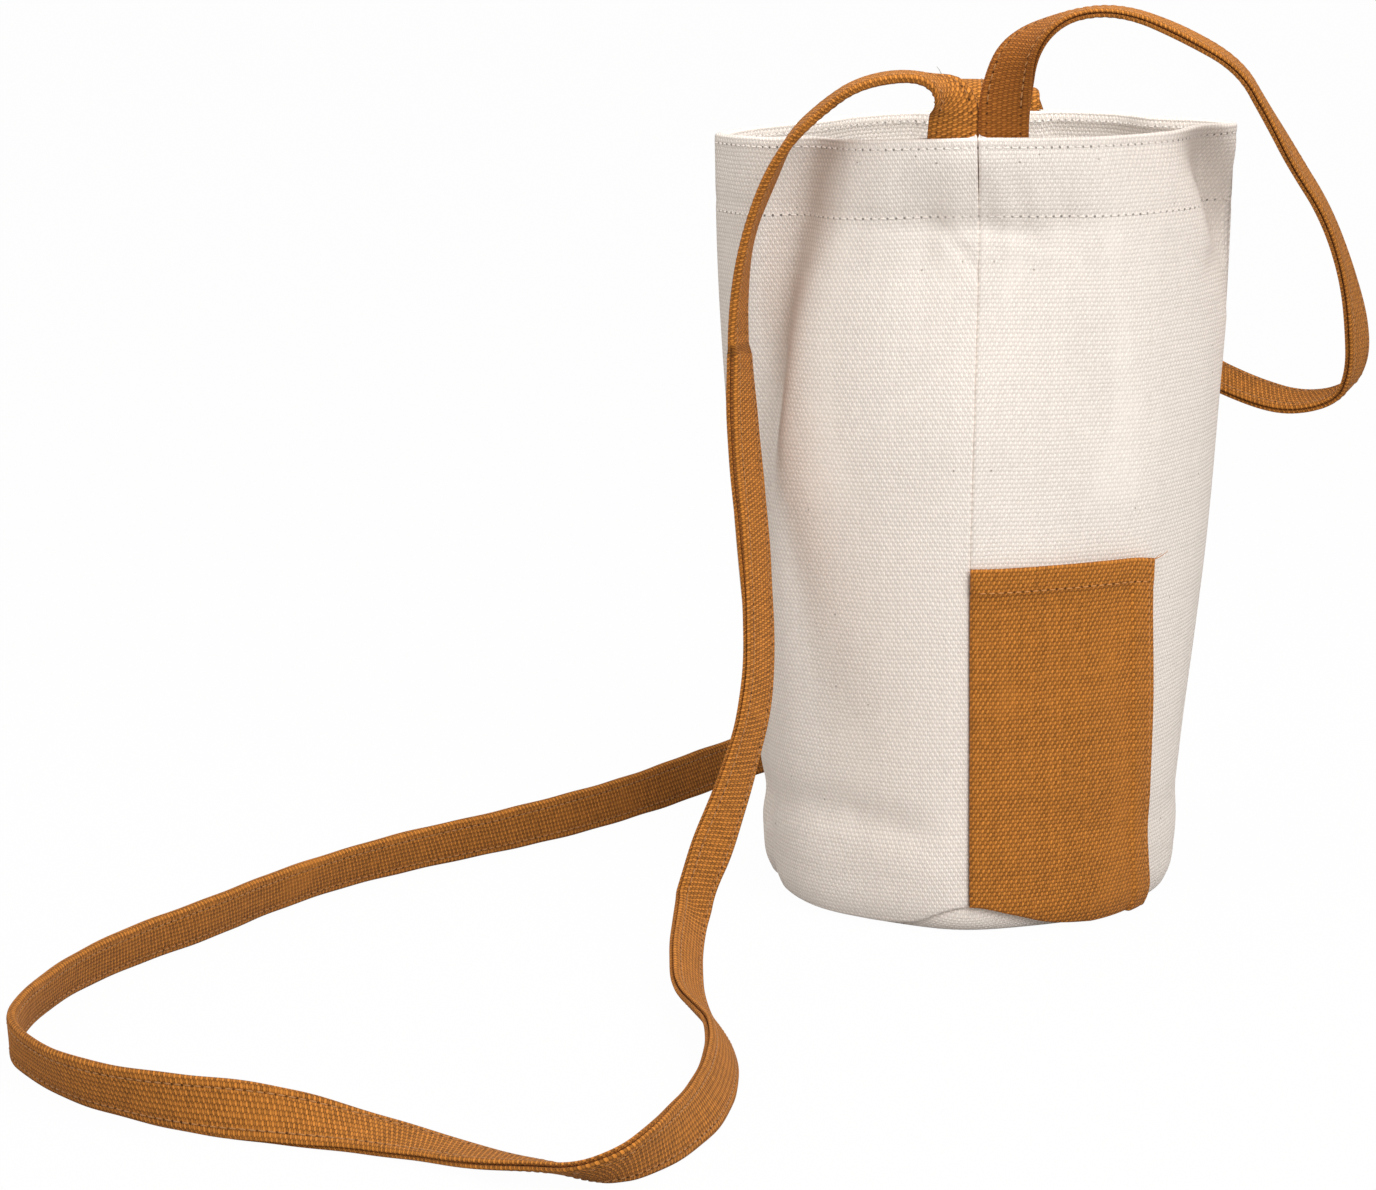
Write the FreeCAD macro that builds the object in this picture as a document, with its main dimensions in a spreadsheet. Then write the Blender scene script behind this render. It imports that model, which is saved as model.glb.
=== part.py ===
import FreeCAD, Part
import Sketcher
import math
import os

# Fruit picking bag: a sewn canvas bucket whose round bottom is drawn out to a flat,
# lens-shaped mouth, with a patch pocket and two strap loops sewn in at the rim.
# Millimetres, +Z up, near seam on -Y. The origin is the middle of the bottom, on the floor.

SIZES = {
    # bucket
    "bag_height": 251.0,
    "canvas": 1.0,             # thickness of one layer of canvas
    "base_radius": 65.0,
    "shoulder": 5.5,           # height of the seam between bottom and walls
    "lower_band": 16.0,        # the walls rise straight to here, then begin to flatten
    "rim_radius": 98.6,        # each side of the mouth is an arc of this radius
    "rim_offset": 51.6,        # its centre lies this far past the middle
    "facing_depth": 26.0,      # height of the band sewn inside the rim
    "far_seam": 5.0,           # the far seam stands this far to the right
    "allowance": 8.0,          # seam allowance turned inside
    # straps and the room that the facing leaves for their sewn-in ends
    "strap_width": 16.0,
    "strap_thickness": 3.0,
    "tail_room": 3.7,
    "tail_cover": 1.0,
    "tail_span": 17.6,         # from a seam to the outer edge of a strap's room
    "cover_span": 25.0,        # from a seam to where the facing is flat again
    # patch pocket
    "pocket_top": 116.0,
    "pocket_span": 60.0,
    "pocket_foot": 6.5,
    "pocket_gap": 0.3,
    "pocket_canvas": 1.1,
    "pocket_hem": 8.0,         # depth of the folded edge along the pocket's top
    "hem_canvas": 1.0,         # the second layer that the fold adds there
    "pocket_blank_low": 62.0,  # half width of the pocket's blank, low and high,
    "pocket_blank_high": 80.6,  # before its side is trimmed
    # bottom
    "base_flat": 58.5,         # radius of the part that lies flat
    "base_lip": 14.0,          # top of the bottom's turned-up edge
    "lip_gap": 0.9,            # room between that edge and the walls
    # shared by the cuts and joins
    "bite": 0.5,               # how far an added piece starts inside what it joins
    "cutter_reach": 5.0,       # how far a cutter reaches past the work
}

# Each strap's route, from its near end to its far end: a point of the middle line, and
# the direction across the strap there, from its folded edge to its other edge.
LONG_ROUTE = [
    ((-7.7, -43.6, 236), (1, -0.09, 0)), ((-7.7, -43.6, 253.2), (1, -0.09, 0)),
    ((-6.2, -44.2, 262.6), (0.88, 0.42, -0.22)), ((-12.2, -45.8, 269.3), (0.5, 0.85, -0.15)),
    ((-22, -45.5, 271.3), (0.16, 0.99, 0.02)), ((-36.2, -44.5, 268.5), (0.04, 1, 0.03)),
    ((-46.7, -42, 261.2), (-0.01, 1, 0.06)), ((-58.2, -39, 250.3), (0.05, 0.99, 0.11)),
    ((-65.2, -36, 235.8), (0.18, 0.98, -0.02)), ((-71.9, -33.5, 217.6), (0.07, 1, 0.01)),
    ((-74.4, -32, 198.2), (0.18, 0.98, 0.01)), ((-74.3, -34, 178.9), (0.28, 0.96, -0.01)),
    ((-73.1, -38, 159.9), (0.41, 0.91, -0.01)), ((-71, -43, 140), (0.55, 0.84, 0)),
    ((-68.4, -50, 119), (0.56, 0.83, 0)), ((-66, -58, 97), (0.62, 0.78, 0)),
    ((-66.5, -67, 76), (0.59, 0.81, 0)), ((-71.3, -78, 57), (0.62, 0.78, 0)),
    ((-77.8, -90, 39), (0.68, 0.72, -0.1)), ((-82.9, -100, 27), (0.15, -0.06, -0.99)),
    ((-85.3, -109, 16), (0.44, -0.02, -0.9)), ((-84.6, -134.8, 10.8), (0.55, 0.04, -0.83)),
    ((-81.5, -157.5, 7.2), (0.66, 0.15, -0.74)), ((-75.5, -174.9, 7.4), (0.61, 0.19, -0.77)),
    ((-70.1, -193.4, 7.9), (0.51, 0.08, -0.86)), ((-68.1, -219.7, 8), (0.5, 0, -0.87)),
    ((-70.1, -246.9, 8.1), (0.45, -0.07, -0.89)), ((-75.9, -269.2, 8.4), (0.16, -0.05, -0.99)),
    ((-84, -287.9, 8.4), (-0.21, 0.12, -0.97)), ((-91.9, -296.1, 7.3), (-0.34, 0.56, -0.76)),
    ((-99.7, -297.3, 5.5), (0.27, 0.83, -0.48)), ((-112, -289.5, 4.4), (0.45, 0.83, -0.33)),
    ((-128.1, -282, 3), (0.49, 0.86, -0.16)), ((-147.9, -269, 2.4), (0.41, 0.91, 0.08)),
    ((-167.8, -264.2, 4.7), (0.17, 0.91, 0.38)), ((-187.3, -261.7, 7.5), (0.1, 0.61, 0.78)),
    ((-211.9, -257, 8.4), (0.03, 0.12, 0.99)), ((-232.8, -248.5, 8.4), (-0.11, -0.21, 0.97)),
    ((-253.1, -235.1, 8.3), (-0.23, -0.25, 0.94)),
    ((-269.1, -215.4, 8.4), (-0.22, -0.14, 0.97)), ((-276.1, -198.5, 8.3), (0.01, 0, 1)),
    ((-276.4, -172.7, 8.3), (0.33, -0.03, 0.94)), ((-270.4, -143.1, 8.3), (0.35, -0.11, 0.93)),
    ((-258.2, -114.5, 8.2), (0.35, -0.19, 0.92)), ((-239.9, -87, 8.4), (0.27, -0.16, 0.95)),
    ((-220.3, -47.9, 8.3), (0.33, -0.2, 0.92)), ((-193.5, -12.4, 8.3), (0.27, -0.25, 0.93)),
    ((-163.3, 14.3, 8.4), (0.19, -0.2, 0.96)), ((-133.5, 44.4, 8.4), (0.11, -0.1, 0.99)),
    ((-111.5, 74.2, 8.3), (0.03, -0.02, 1)), ((-93.6, 102.9, 8.4), (-0.06, 0.04, 1)),
    ((-76, 129, 8.6), (0, 0.1, 1)), ((-55, 147, 8.7), (0.1, 0.3, 0.95)),
    ((-32, 151, 8.6), (0.2, 0.61, 0.76)), ((-14, 141, 7), (0.64, 0.64, 0.43)),
    ((-5.5, 124, 6), (0.95, 0.3, 0.1)), ((-3.6, 107, 12), (1, 0, 0)),
    ((-3.3, 95, 27), (1, 0, 0)), ((-3.1, 88, 48), (1, 0, 0)), ((-3.3, 84, 75), (1, 0, 0)),
    ((-3.1, 81.5, 106), (1, 0, 0)), ((-3.3, 80, 140), (1, 0, 0)),
    ((-3.1, 78.5, 175), (1, 0, 0)), ((-3.3, 76, 206), (1, 0, 0)), ((-3.1, 72, 231), (1, 0, 0)),
    ((-3.2, 67, 247), (1, 0, 0)), ((-3.2, 61.5, 256.5), (1, 0, 0)),
    ((-3.2, 54.5, 260), (1, 0, 0)), ((-3.2, 47.5, 258.5), (1, 0.03, 0)),
    ((-3.2, 44, 254), (1, 0.03, 0)), ((-3.2, 44, 238), (1, 0.03, 0)),
]
SHORT_ROUTE = [
    ((8.9, -43.6, 236), (-1, -0.09, 0)), ((8.9, -43.6, 254.5), (-1, -0.09, 0)),
    ((10.1, -44.2, 265.5), (-0.54, 0.82, -0.17)), ((12.8, -45.8, 279.6), (-0.52, 0.84, -0.17)),
    ((26.6, -46, 289.7), (-0.39, 0.91, -0.16)), ((44.2, -44, 291.7), (-0.21, 0.98, 0.06)),
    ((63.8, -40, 284.1), (-0.02, 0.99, 0.13)), ((81.8, -35, 273.7), (0.07, 0.99, 0.08)),
    ((90.8, -29, 258.7), (0.09, 1, 0.01)), ((100.3, -22, 243), (0.23, 0.97, 0.03)),
    ((111.2, -14, 226.3), (0.19, 0.98, -0.04)), ((119, -6, 207.3), (0.26, 0.96, -0.08)),
    ((123.9, 1, 187.9), (0.41, 0.91, -0.06)), ((125.5, 8, 172.8), (0.43, 0.9, -0.02)),
    ((121.8, 14, 162.3), (0.24, 0.97, 0.08)), ((107.3, 19, 158), (0.11, 0.97, 0.21)),
    ((92.8, 25, 160.9), (0.06, 0.91, 0.4)), ((73.2, 33, 168.9), (0.07, 0.91, 0.4)),
    ((66, 44, 179), (0.42, 0.74, 0.53)), ((52, 56, 193), (0.69, 0.53, 0.48)),
    ((38, 67, 211), (0.88, 0.31, 0.36)), ((26, 72, 229), (0.98, 0.1, 0.2)),
    ((17.5, 70, 244), (1, 0, 0)), ((14.2, 66, 254), (1, 0, 0)), ((13.5, 61, 260), (1, 0, 0)),
    ((13.4, 53.5, 261.5), (1, -0.05, 0)), ((13.3, 46.8, 259), (0.99, -0.13, 0)),
    ((13.3, 43.1, 254), (0.99, -0.14, 0)), ((13.3, 43.1, 238), (0.99, -0.14, 0)),
]
ARC_SHARE = 0.45          # how much of the shorter run a bend takes
ARC_STEP = 12.0           # degrees of bend or twist from one cross-section to the next

doc = FreeCAD.newDocument("fruit_picking_bag")
sheet = doc.addObject("Spreadsheet::Sheet", "Sizes")
for row, (alias, value) in enumerate(SIZES.items(), start=1):
    sheet.set(f"A{row}", alias)
    sheet.set(f"B{row}", str(value))
    sheet.setAlias(f"B{row}", alias)
doc.recompute()

NODES = []
START, END, CENTRE = 1, 2, 3
ORIGIN = (-1, 1)
X_AXIS = -1
Y_AXIS = -2


def size(alias):
    return float(getattr(sheet, alias))


def vec(x, y, z=0.0):
    return FreeCAD.Vector(x, y, z)


def new_body(name):
    body = doc.addObject("PartDesign::Body", name)
    body.Label = name
    body.Placement = FreeCAD.Placement()
    NODES.append(body)
    return body


def plane_of(body, role):
    for feature in body.Origin.OriginFeatures:
        if feature.Role == role:
            return feature
    raise RuntimeError(f"{body.Label} has no {role}")


def new_sketch(body, name, role="XY_Plane", height=None):
    sketch = body.newObject("Sketcher::SketchObject", name)
    sketch.AttachmentSupport = [(plane_of(body, role), "")]
    sketch.MapMode = "FlatFace"
    if height is not None:
        sketch.setExpression("AttachmentOffset.Base.z", height)
    sketch.Visibility = False
    return sketch


def bind(sketch, kind, args, formula, start_value):
    """Adds a size constraint and binds it to a formula over the sheet."""
    index = sketch.addConstraint(Sketcher.Constraint(kind, *args, start_value))
    sketch.setExpression(f"Constraints[{index}]", formula)


def tie(sketch, kind, *args):
    """Adds a constraint that holds no size."""
    sketch.addConstraint(Sketcher.Constraint(kind, *args))


def arc_between(sketch, centre, radius, first, second):
    """An arc round centre from first to second, the shorter way; returns its id and ends."""
    a = math.atan2(first.y - centre.y, first.x - centre.x)
    b = math.atan2(second.y - centre.y, second.x - centre.x)
    turn = (b - a + math.pi) % (2 * math.pi) - math.pi
    circle = Part.Circle(centre, vec(0, 0, 1), radius)
    if turn > 0:
        return sketch.addGeometry(Part.ArcOfCircle(circle, a, a + turn)), START, END
    return sketch.addGeometry(Part.ArcOfCircle(circle, b, b - turn)), END, START


def pin_centre(sketch, arc, offset, sign):
    """Puts an arc's centre on the Y axis, offset from the middle, or at the middle."""
    if offset is None:
        tie(sketch, "Coincident", arc, CENTRE, *ORIGIN)
        return
    tie(sketch, "PointOnObject", arc, CENTRE, Y_AXIS)
    start = sign * eval_formula(offset)
    formula = offset if sign > 0 else f"-({offset})"
    bind(sketch, "DistanceY", (*ORIGIN, arc, CENTRE), formula, start)


def eval_formula(formula):
    """The value now of a sum of sheet cells and numbers."""
    total = 0.0
    for term in formula.replace("-", "+-").split("+"):
        term = term.strip()
        if not term:
            continue
        sign = -1.0 if term.startswith("-") else 1.0
        name = term.lstrip("-").strip()
        value = size(name.split(".")[1]) if name.startswith("Sizes.") else float(name)
        total += sign * value
    return total


def half_ring(body, name, height, side, offset, outer, inner):
    """Half of the bag's outline, as a ring from the near seam round to the far seam."""
    sketch = new_sketch(body, name, height=height)
    shift = 0.0 if offset is None else eval_formula(offset)
    radius = {"outer": eval_formula(outer), "inner": eval_formula(inner)}
    seam_x = size("far_seam")
    near = vec(0, shift)
    far = vec(0, -shift)
    ends = {}
    for layer in ("outer", "inner"):
        r = radius[layer]
        near_seam = vec(0, shift - r)
        corner = vec(side * math.sqrt(r * r - shift * shift), 0)
        far_seam = vec(seam_x, math.sqrt(r * r - seam_x * seam_x) - shift)
        ends[layer] = (near_seam, far_seam,
                       arc_between(sketch, near, r, near_seam, corner),
                       arc_between(sketch, far, r, corner, far_seam))
    near_line = sketch.addGeometry(Part.LineSegment(ends["outer"][0], ends["inner"][0]))
    far_line = sketch.addGeometry(Part.LineSegment(ends["outer"][1], ends["inner"][1]))
    outer_near, outer_far = ends["outer"][2], ends["outer"][3]
    pin_centre(sketch, outer_near[0], offset, 1)
    pin_centre(sketch, outer_far[0], offset, -1)
    for layer, formula, line_end in (("outer", outer, START), ("inner", inner, END)):
        near_arc, far_arc = ends[layer][2], ends[layer][3]
        if layer == "inner":
            tie(sketch, "Coincident", near_arc[0], CENTRE, outer_near[0], CENTRE)
            tie(sketch, "Coincident", far_arc[0], CENTRE, outer_far[0], CENTRE)
        tie(sketch, "Coincident", near_arc[0], near_arc[2], far_arc[0], far_arc[1])
        tie(sketch, "PointOnObject", near_arc[0], near_arc[2], X_AXIS)
        tie(sketch, "Coincident", near_line, line_end, near_arc[0], near_arc[1])
        tie(sketch, "Coincident", far_line, line_end, far_arc[0], far_arc[2])
        tie(sketch, "PointOnObject", near_arc[0], near_arc[1], Y_AXIS)
        bind(sketch, "Radius", (near_arc[0],), formula, radius[layer])
    tie(sketch, "Vertical", far_line)
    bind(sketch, "DistanceX", (*ORIGIN, far_line, START), "Sizes.far_seam", seam_x)
    return sketch


def sector(body, name, height, wall, offset, outer, inner, left, right):
    """Part of one side's outline, as a ring sector between two lines along Y."""
    sketch = new_sketch(body, name, height=height)
    shift = 0.0 if offset is None else eval_formula(offset)
    sign = -1.0 if wall == "near" else 1.0
    centre = vec(0, -sign * shift)
    xs = [eval_formula(left), eval_formula(right)]
    arcs = []
    corners = []
    for formula in (outer, inner):
        r = eval_formula(formula)
        pair = [vec(x, centre.y + sign * math.sqrt(r * r - x * x)) for x in xs]
        corners.append(pair)
        arcs.append(arc_between(sketch, centre, r, *pair))
    lines = [sketch.addGeometry(Part.LineSegment(corners[0][i], corners[1][i])) for i in (0, 1)]
    pin_centre(sketch, arcs[0][0], offset, -sign)
    tie(sketch, "Coincident", arcs[1][0], CENTRE, arcs[0][0], CENTRE)
    for layer, formula in enumerate((outer, inner)):
        bind(sketch, "Radius", (arcs[layer][0],), formula, eval_formula(formula))
        for i in (0, 1):
            tie(sketch, "Coincident", lines[i], (START, END)[layer], arcs[layer][0], arcs[layer][1 + i])
    for i, formula in enumerate((left, right)):
        tie(sketch, "Vertical", lines[i])
        if abs(xs[i]) < 1e-9:
            tie(sketch, "PointOnObject", lines[i], START, Y_AXIS)
        else:
            bind(sketch, "DistanceX", (*ORIGIN, lines[i], START), formula, xs[i])
    return sketch


def rectangle(body, name, x_range, y_range, role="XY_Plane", height=None):
    """A rectangle from two pairs of formulas, in its sketch's own X and Y."""
    sketch = new_sketch(body, name, role, height)
    x0, x1 = (eval_formula(f) for f in x_range)
    y0, y1 = (eval_formula(f) for f in y_range)
    corners = [vec(x0, y0), vec(x1, y0), vec(x1, y1), vec(x0, y1)]
    for i in range(4):
        sketch.addGeometry(Part.LineSegment(corners[i], corners[(i + 1) % 4]))
    for i in range(4):
        tie(sketch, "Coincident", i, END, (i + 1) % 4, START)
    for i, kind in enumerate(("Horizontal", "Vertical", "Horizontal", "Vertical")):
        tie(sketch, kind, i)
    for point, value, formula, kind, axis in (
            ((0, START), x0, x_range[0], "DistanceX", Y_AXIS),
            ((1, END), x1, x_range[1], "DistanceX", Y_AXIS),
            ((0, START), y0, y_range[0], "DistanceY", X_AXIS),
            ((1, END), y1, y_range[1], "DistanceY", X_AXIS)):
        if abs(value) < 1e-9:
            tie(sketch, "PointOnObject", *point, axis)
        else:
            bind(sketch, kind, (*ORIGIN, *point), formula, value)
    return sketch


def pad(body, sketch, name, length):
    feature = body.newObject("PartDesign::Pad", name)
    feature.Profile = sketch
    feature.setExpression("Length", length)
    return feature


def loft(body, lower, upper, name, kind="AdditiveLoft"):
    feature = body.newObject(f"PartDesign::{kind}", name)
    feature.Profile = lower
    feature.Sections = [upper]
    feature.Ruled = True
    return feature


def cut(body, sketch, name, length, reverse=False):
    """Cuts sketch out of the body over length and checks that something went."""
    doc.recompute()
    before = body.Shape.Volume
    feature = body.newObject("PartDesign::Pocket", name)
    feature.Profile = sketch
    feature.Reversed = reverse
    feature.setExpression("Length", length)
    doc.recompute()
    if body.Shape.Volume > before - 1.0:
        raise RuntimeError(f"{name} cut nothing from {body.Label}")
    return feature


LOFT_BOTTOM = "Sizes.lower_band"
LOFT_TOP = "Sizes.bag_height - Sizes.facing_depth"
BASE_OUTER = "Sizes.base_radius"
BASE_INNER = "Sizes.base_radius - Sizes.canvas"
RIM_OUTER = "Sizes.rim_radius"
RIM_INNER = "Sizes.rim_radius - Sizes.canvas"
RIM_SHIFT = "Sizes.rim_offset"


def make_wall(name, side):
    """One wall: a straight band at the foot, the tapering side, the straight rim band,
    and the two seam allowances that stand inside."""
    body = new_body(name)
    foot = half_ring(body, f"{name}_foot", "Sizes.shoulder", side, None, BASE_OUTER, BASE_INNER)
    pad(body, foot, f"{name}_foot_band", "Sizes.lower_band - Sizes.shoulder")
    low = half_ring(body, f"{name}_low", LOFT_BOTTOM, side, None, BASE_OUTER, BASE_INNER)
    high = half_ring(body, f"{name}_high", LOFT_TOP, side, RIM_SHIFT, RIM_OUTER, RIM_INNER)
    loft(body, low, high, f"{name}_side")
    rim = half_ring(body, f"{name}_rim", LOFT_TOP, side, RIM_SHIFT, RIM_OUTER, RIM_INNER)
    pad(body, rim, f"{name}_rim_band", "Sizes.facing_depth")
    for seam, line, sign in (("near", "0", -1), ("far", "Sizes.far_seam", 1)):
        flap = f"{line} + Sizes.canvas" if side > 0 else f"{line} - Sizes.canvas"
        across = (line, flap) if side > 0 else (flap, line)
        levels = []
        for level, height, reach in (
                ("low", LOFT_BOTTOM, "Sizes.base_radius"),
                ("high", LOFT_TOP, "Sizes.rim_radius - Sizes.rim_offset")):
            root = f"{reach} - Sizes.bite"
            tip = f"{reach} - Sizes.canvas - Sizes.allowance"
            if sign < 0:
                depth = (negated(root), negated(tip))
            else:
                depth = (tip, root)
            levels.append(rectangle(body, f"{name}_{seam}_{level}", across, depth, height=height))
        loft(body, levels[0], levels[1], f"{name}_{seam}_allowance")
    return body


def negated(formula):
    """The same sum with every sign turned round."""
    flipped = formula.replace("+", "#").replace("-", "+").replace("#", "-")
    return "-" + flipped


def make_facing(name, side):
    """The band sewn inside the rim, raised in two places to cover the straps' ends."""
    body = new_body(name)
    outer = "Sizes.rim_radius - Sizes.canvas"
    inner = "Sizes.rim_radius - Sizes.canvas - Sizes.canvas"
    band = half_ring(body, f"{name}_ring", LOFT_TOP, side, RIM_SHIFT, outer, inner)
    pad(body, band, f"{name}_band", "Sizes.facing_depth")
    cover_outer = "Sizes.rim_radius - Sizes.canvas"
    cover_inner = "Sizes.rim_radius - Sizes.canvas - Sizes.tail_room - Sizes.tail_cover"
    room_outer = "Sizes.rim_radius - Sizes.canvas + Sizes.bite"
    room_inner = "Sizes.rim_radius - Sizes.canvas - Sizes.tail_room"
    for wall, line in (("near", "0"), ("far", "Sizes.far_seam")):
        sign = "+" if side > 0 else "-"
        cover_end = f"{line} {sign} Sizes.cover_span"
        span = (line, cover_end) if side > 0 else (cover_end, line)
        cover = sector(body, f"{name}_{wall}_cover_outline", LOFT_TOP, wall, RIM_SHIFT,
                       cover_outer, cover_inner, *span)
        pad(body, cover, f"{name}_{wall}_cover", "Sizes.facing_depth")
    for wall, line in (("near", "0"), ("far", "Sizes.far_seam")):
        sign = "+" if side > 0 else "-"
        room_end = f"{line} {sign} Sizes.tail_span"
        span = (line, room_end) if side > 0 else (room_end, line)
        room = sector(body, f"{name}_{wall}_room_outline", LOFT_TOP, wall, RIM_SHIFT,
                      room_outer, room_inner, *span)
        cut(body, room, f"{name}_{wall}_room", "Sizes.facing_depth", reverse=True)
    return body


def quarter_bend(start, end):
    """An arc that leaves start level and climbs to end."""
    out, up = end.x - start.x, end.y - start.y
    radius = (out * out + up * up) / (2 * up)
    turn = math.atan2(out, radius - up) / 2
    middle = vec(start.x + radius * math.sin(turn), start.y + radius * (1 - math.cos(turn)))
    return Part.Arc(start, middle, end)


def make_base():
    """The bottom: a disc whose edge rises in a round shoulder and is turned up inside."""
    body = new_body("base_panel")
    sketch = new_sketch(body, "base_profile", "XZ_Plane")
    t = size("canvas")
    flat = size("base_flat")
    rim = size("base_radius")
    top = size("shoulder")
    lip = size("base_lip")
    lip_r = rim - t - size("lip_gap")
    bend = quarter_bend(vec(flat, 0), vec(rim, top))
    inner_bend = quarter_bend(vec(flat, t), vec(lip_r - t, top))
    points = [vec(rim, top), vec(lip_r, top), vec(lip_r, lip), vec(lip_r - t, lip),
              vec(lip_r - t, top)]
    edges = [Part.LineSegment(vec(0, 0), vec(flat, 0)), bend]
    edges += [Part.LineSegment(a, b) for a, b in zip(points, points[1:])]
    edges += [inner_bend, Part.LineSegment(vec(flat, t), vec(0, t)),
              Part.LineSegment(vec(0, t), vec(0, 0))]
    ids = [sketch.addGeometry(edge) for edge in edges]
    floor, outer_bend, shelf, lip_out, lip_top, lip_in, back_bend, inside, axis = ids
    smooth = ({floor, outer_bend}, {back_bend, inside})
    tie(sketch, "Coincident", floor, START, *ORIGIN)
    tie(sketch, "Coincident", axis, END, *ORIGIN)
    tie(sketch, "PointOnObject", floor, END, X_AXIS)
    tie(sketch, "PointOnObject", axis, START, Y_AXIS)
    ends = {i: (sketch.getPoint(i, START), sketch.getPoint(i, END)) for i in ids}
    for first, second in zip(ids, ids[1:]):
        for p in (START, END):
            for q in (START, END):
                if ends[first][p - 1].distanceToPoint(ends[second][q - 1]) < 1e-6:
                    joint = "Tangent" if {first, second} in smooth else "Coincident"
                    tie(sketch, joint, first, p, second, q)
    tie(sketch, "Horizontal", shelf)
    tie(sketch, "Vertical", lip_out)
    tie(sketch, "Horizontal", lip_top)
    tie(sketch, "Vertical", lip_in)
    tie(sketch, "Horizontal", inside)
    bind(sketch, "DistanceX", (*ORIGIN, floor, END), "Sizes.base_flat", flat)
    bind(sketch, "DistanceX", (*ORIGIN, shelf, START), "Sizes.base_radius", rim)
    bind(sketch, "DistanceY", (*ORIGIN, shelf, START), "Sizes.shoulder", top)
    bind(sketch, "DistanceX", (*ORIGIN, lip_out, END),
         "Sizes.base_radius - Sizes.canvas - Sizes.lip_gap", lip_r)
    bind(sketch, "DistanceY", (*ORIGIN, lip_out, END), "Sizes.base_lip", lip)
    bind(sketch, "DistanceX", (*ORIGIN, lip_in, END),
         "Sizes.base_radius - Sizes.canvas - Sizes.lip_gap - Sizes.canvas", lip_r - t)
    bind(sketch, "DistanceY", (*ORIGIN, inside, START), "Sizes.canvas", t)
    turn = body.newObject("PartDesign::Revolution", "base_turn")
    turn.Profile = sketch
    turn.ReferenceAxis = (sketch, ["V_Axis"])
    turn.Angle = 360.0
    return body


def make_pocket():
    """The patch pocket: one layer over the right wall, two where its top is folded back."""
    body = new_body("pocket_panel")
    near = "Sizes.pocket_gap"
    wide = "Sizes.pocket_blank_low"
    rim_wide = "Sizes.pocket_blank_high"
    mid = f"{BASE_OUTER} + Sizes.pocket_gap"
    out = f"{mid} + Sizes.pocket_canvas"
    rim_mid = f"{RIM_OUTER} + Sizes.pocket_gap"
    rim_out = f"{rim_mid} + Sizes.pocket_canvas"
    across = ("-Sizes.cutter_reach", "Sizes.rim_radius + Sizes.cutter_reach")

    hem_low = sector(body, "pocket_hem_low_outline", LOFT_BOTTOM, "near", None,
                     f"{out} + Sizes.hem_canvas", mid, near, wide)
    hem_high = sector(body, "pocket_hem_high_outline", LOFT_TOP, "near", RIM_SHIFT,
                      f"{rim_out} + Sizes.hem_canvas", rim_mid, near, rim_wide)
    loft(body, hem_low, hem_high, "pocket_hem")
    below = rectangle(body, "pocket_below_hem", across,
                      ("0", "Sizes.pocket_top - Sizes.pocket_hem"), role="XZ_Plane")
    cut(body, below, "pocket_hem_cut", "Sizes.rim_radius", reverse=True)

    foot = sector(body, "pocket_foot_outline", "Sizes.pocket_foot", "near", None, out, mid, near, wide)
    pad(body, foot, "pocket_foot_band", "Sizes.lower_band - Sizes.pocket_foot")
    low = sector(body, "pocket_low_outline", LOFT_BOTTOM, "near", None, out, mid, near, wide)
    high = sector(body, "pocket_high_outline", LOFT_TOP, "near", RIM_SHIFT, rim_out, rim_mid,
                  near, rim_wide)
    loft(body, low, high, "pocket_side")
    above = rectangle(body, "pocket_above", across, ("Sizes.pocket_top", "Sizes.bag_height"),
                      role="XZ_Plane")
    cut(body, above, "pocket_top_cut", "Sizes.rim_radius", reverse=True)
    beside = rectangle(body, "pocket_beside", ("Sizes.pocket_span", across[1]),
                       ("0", "Sizes.bag_height"), role="XZ_Plane")
    cut(body, beside, "pocket_side_cut", "Sizes.rim_radius", reverse=True)
    return body


def twist_places(first, last):
    """Places along a straight run, one for each ARC_STEP degrees that the strap twists."""
    steps = math.ceil(math.degrees(first[2].getAngle(last[2])) / ARC_STEP)
    places = []
    for k in range(1, steps):
        part = k / steps
        point = first[0] * (1 - part) + last[0] * part
        places.append((point, first[1], first[2] * (1 - part) + last[2] * part))
    return places


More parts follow.
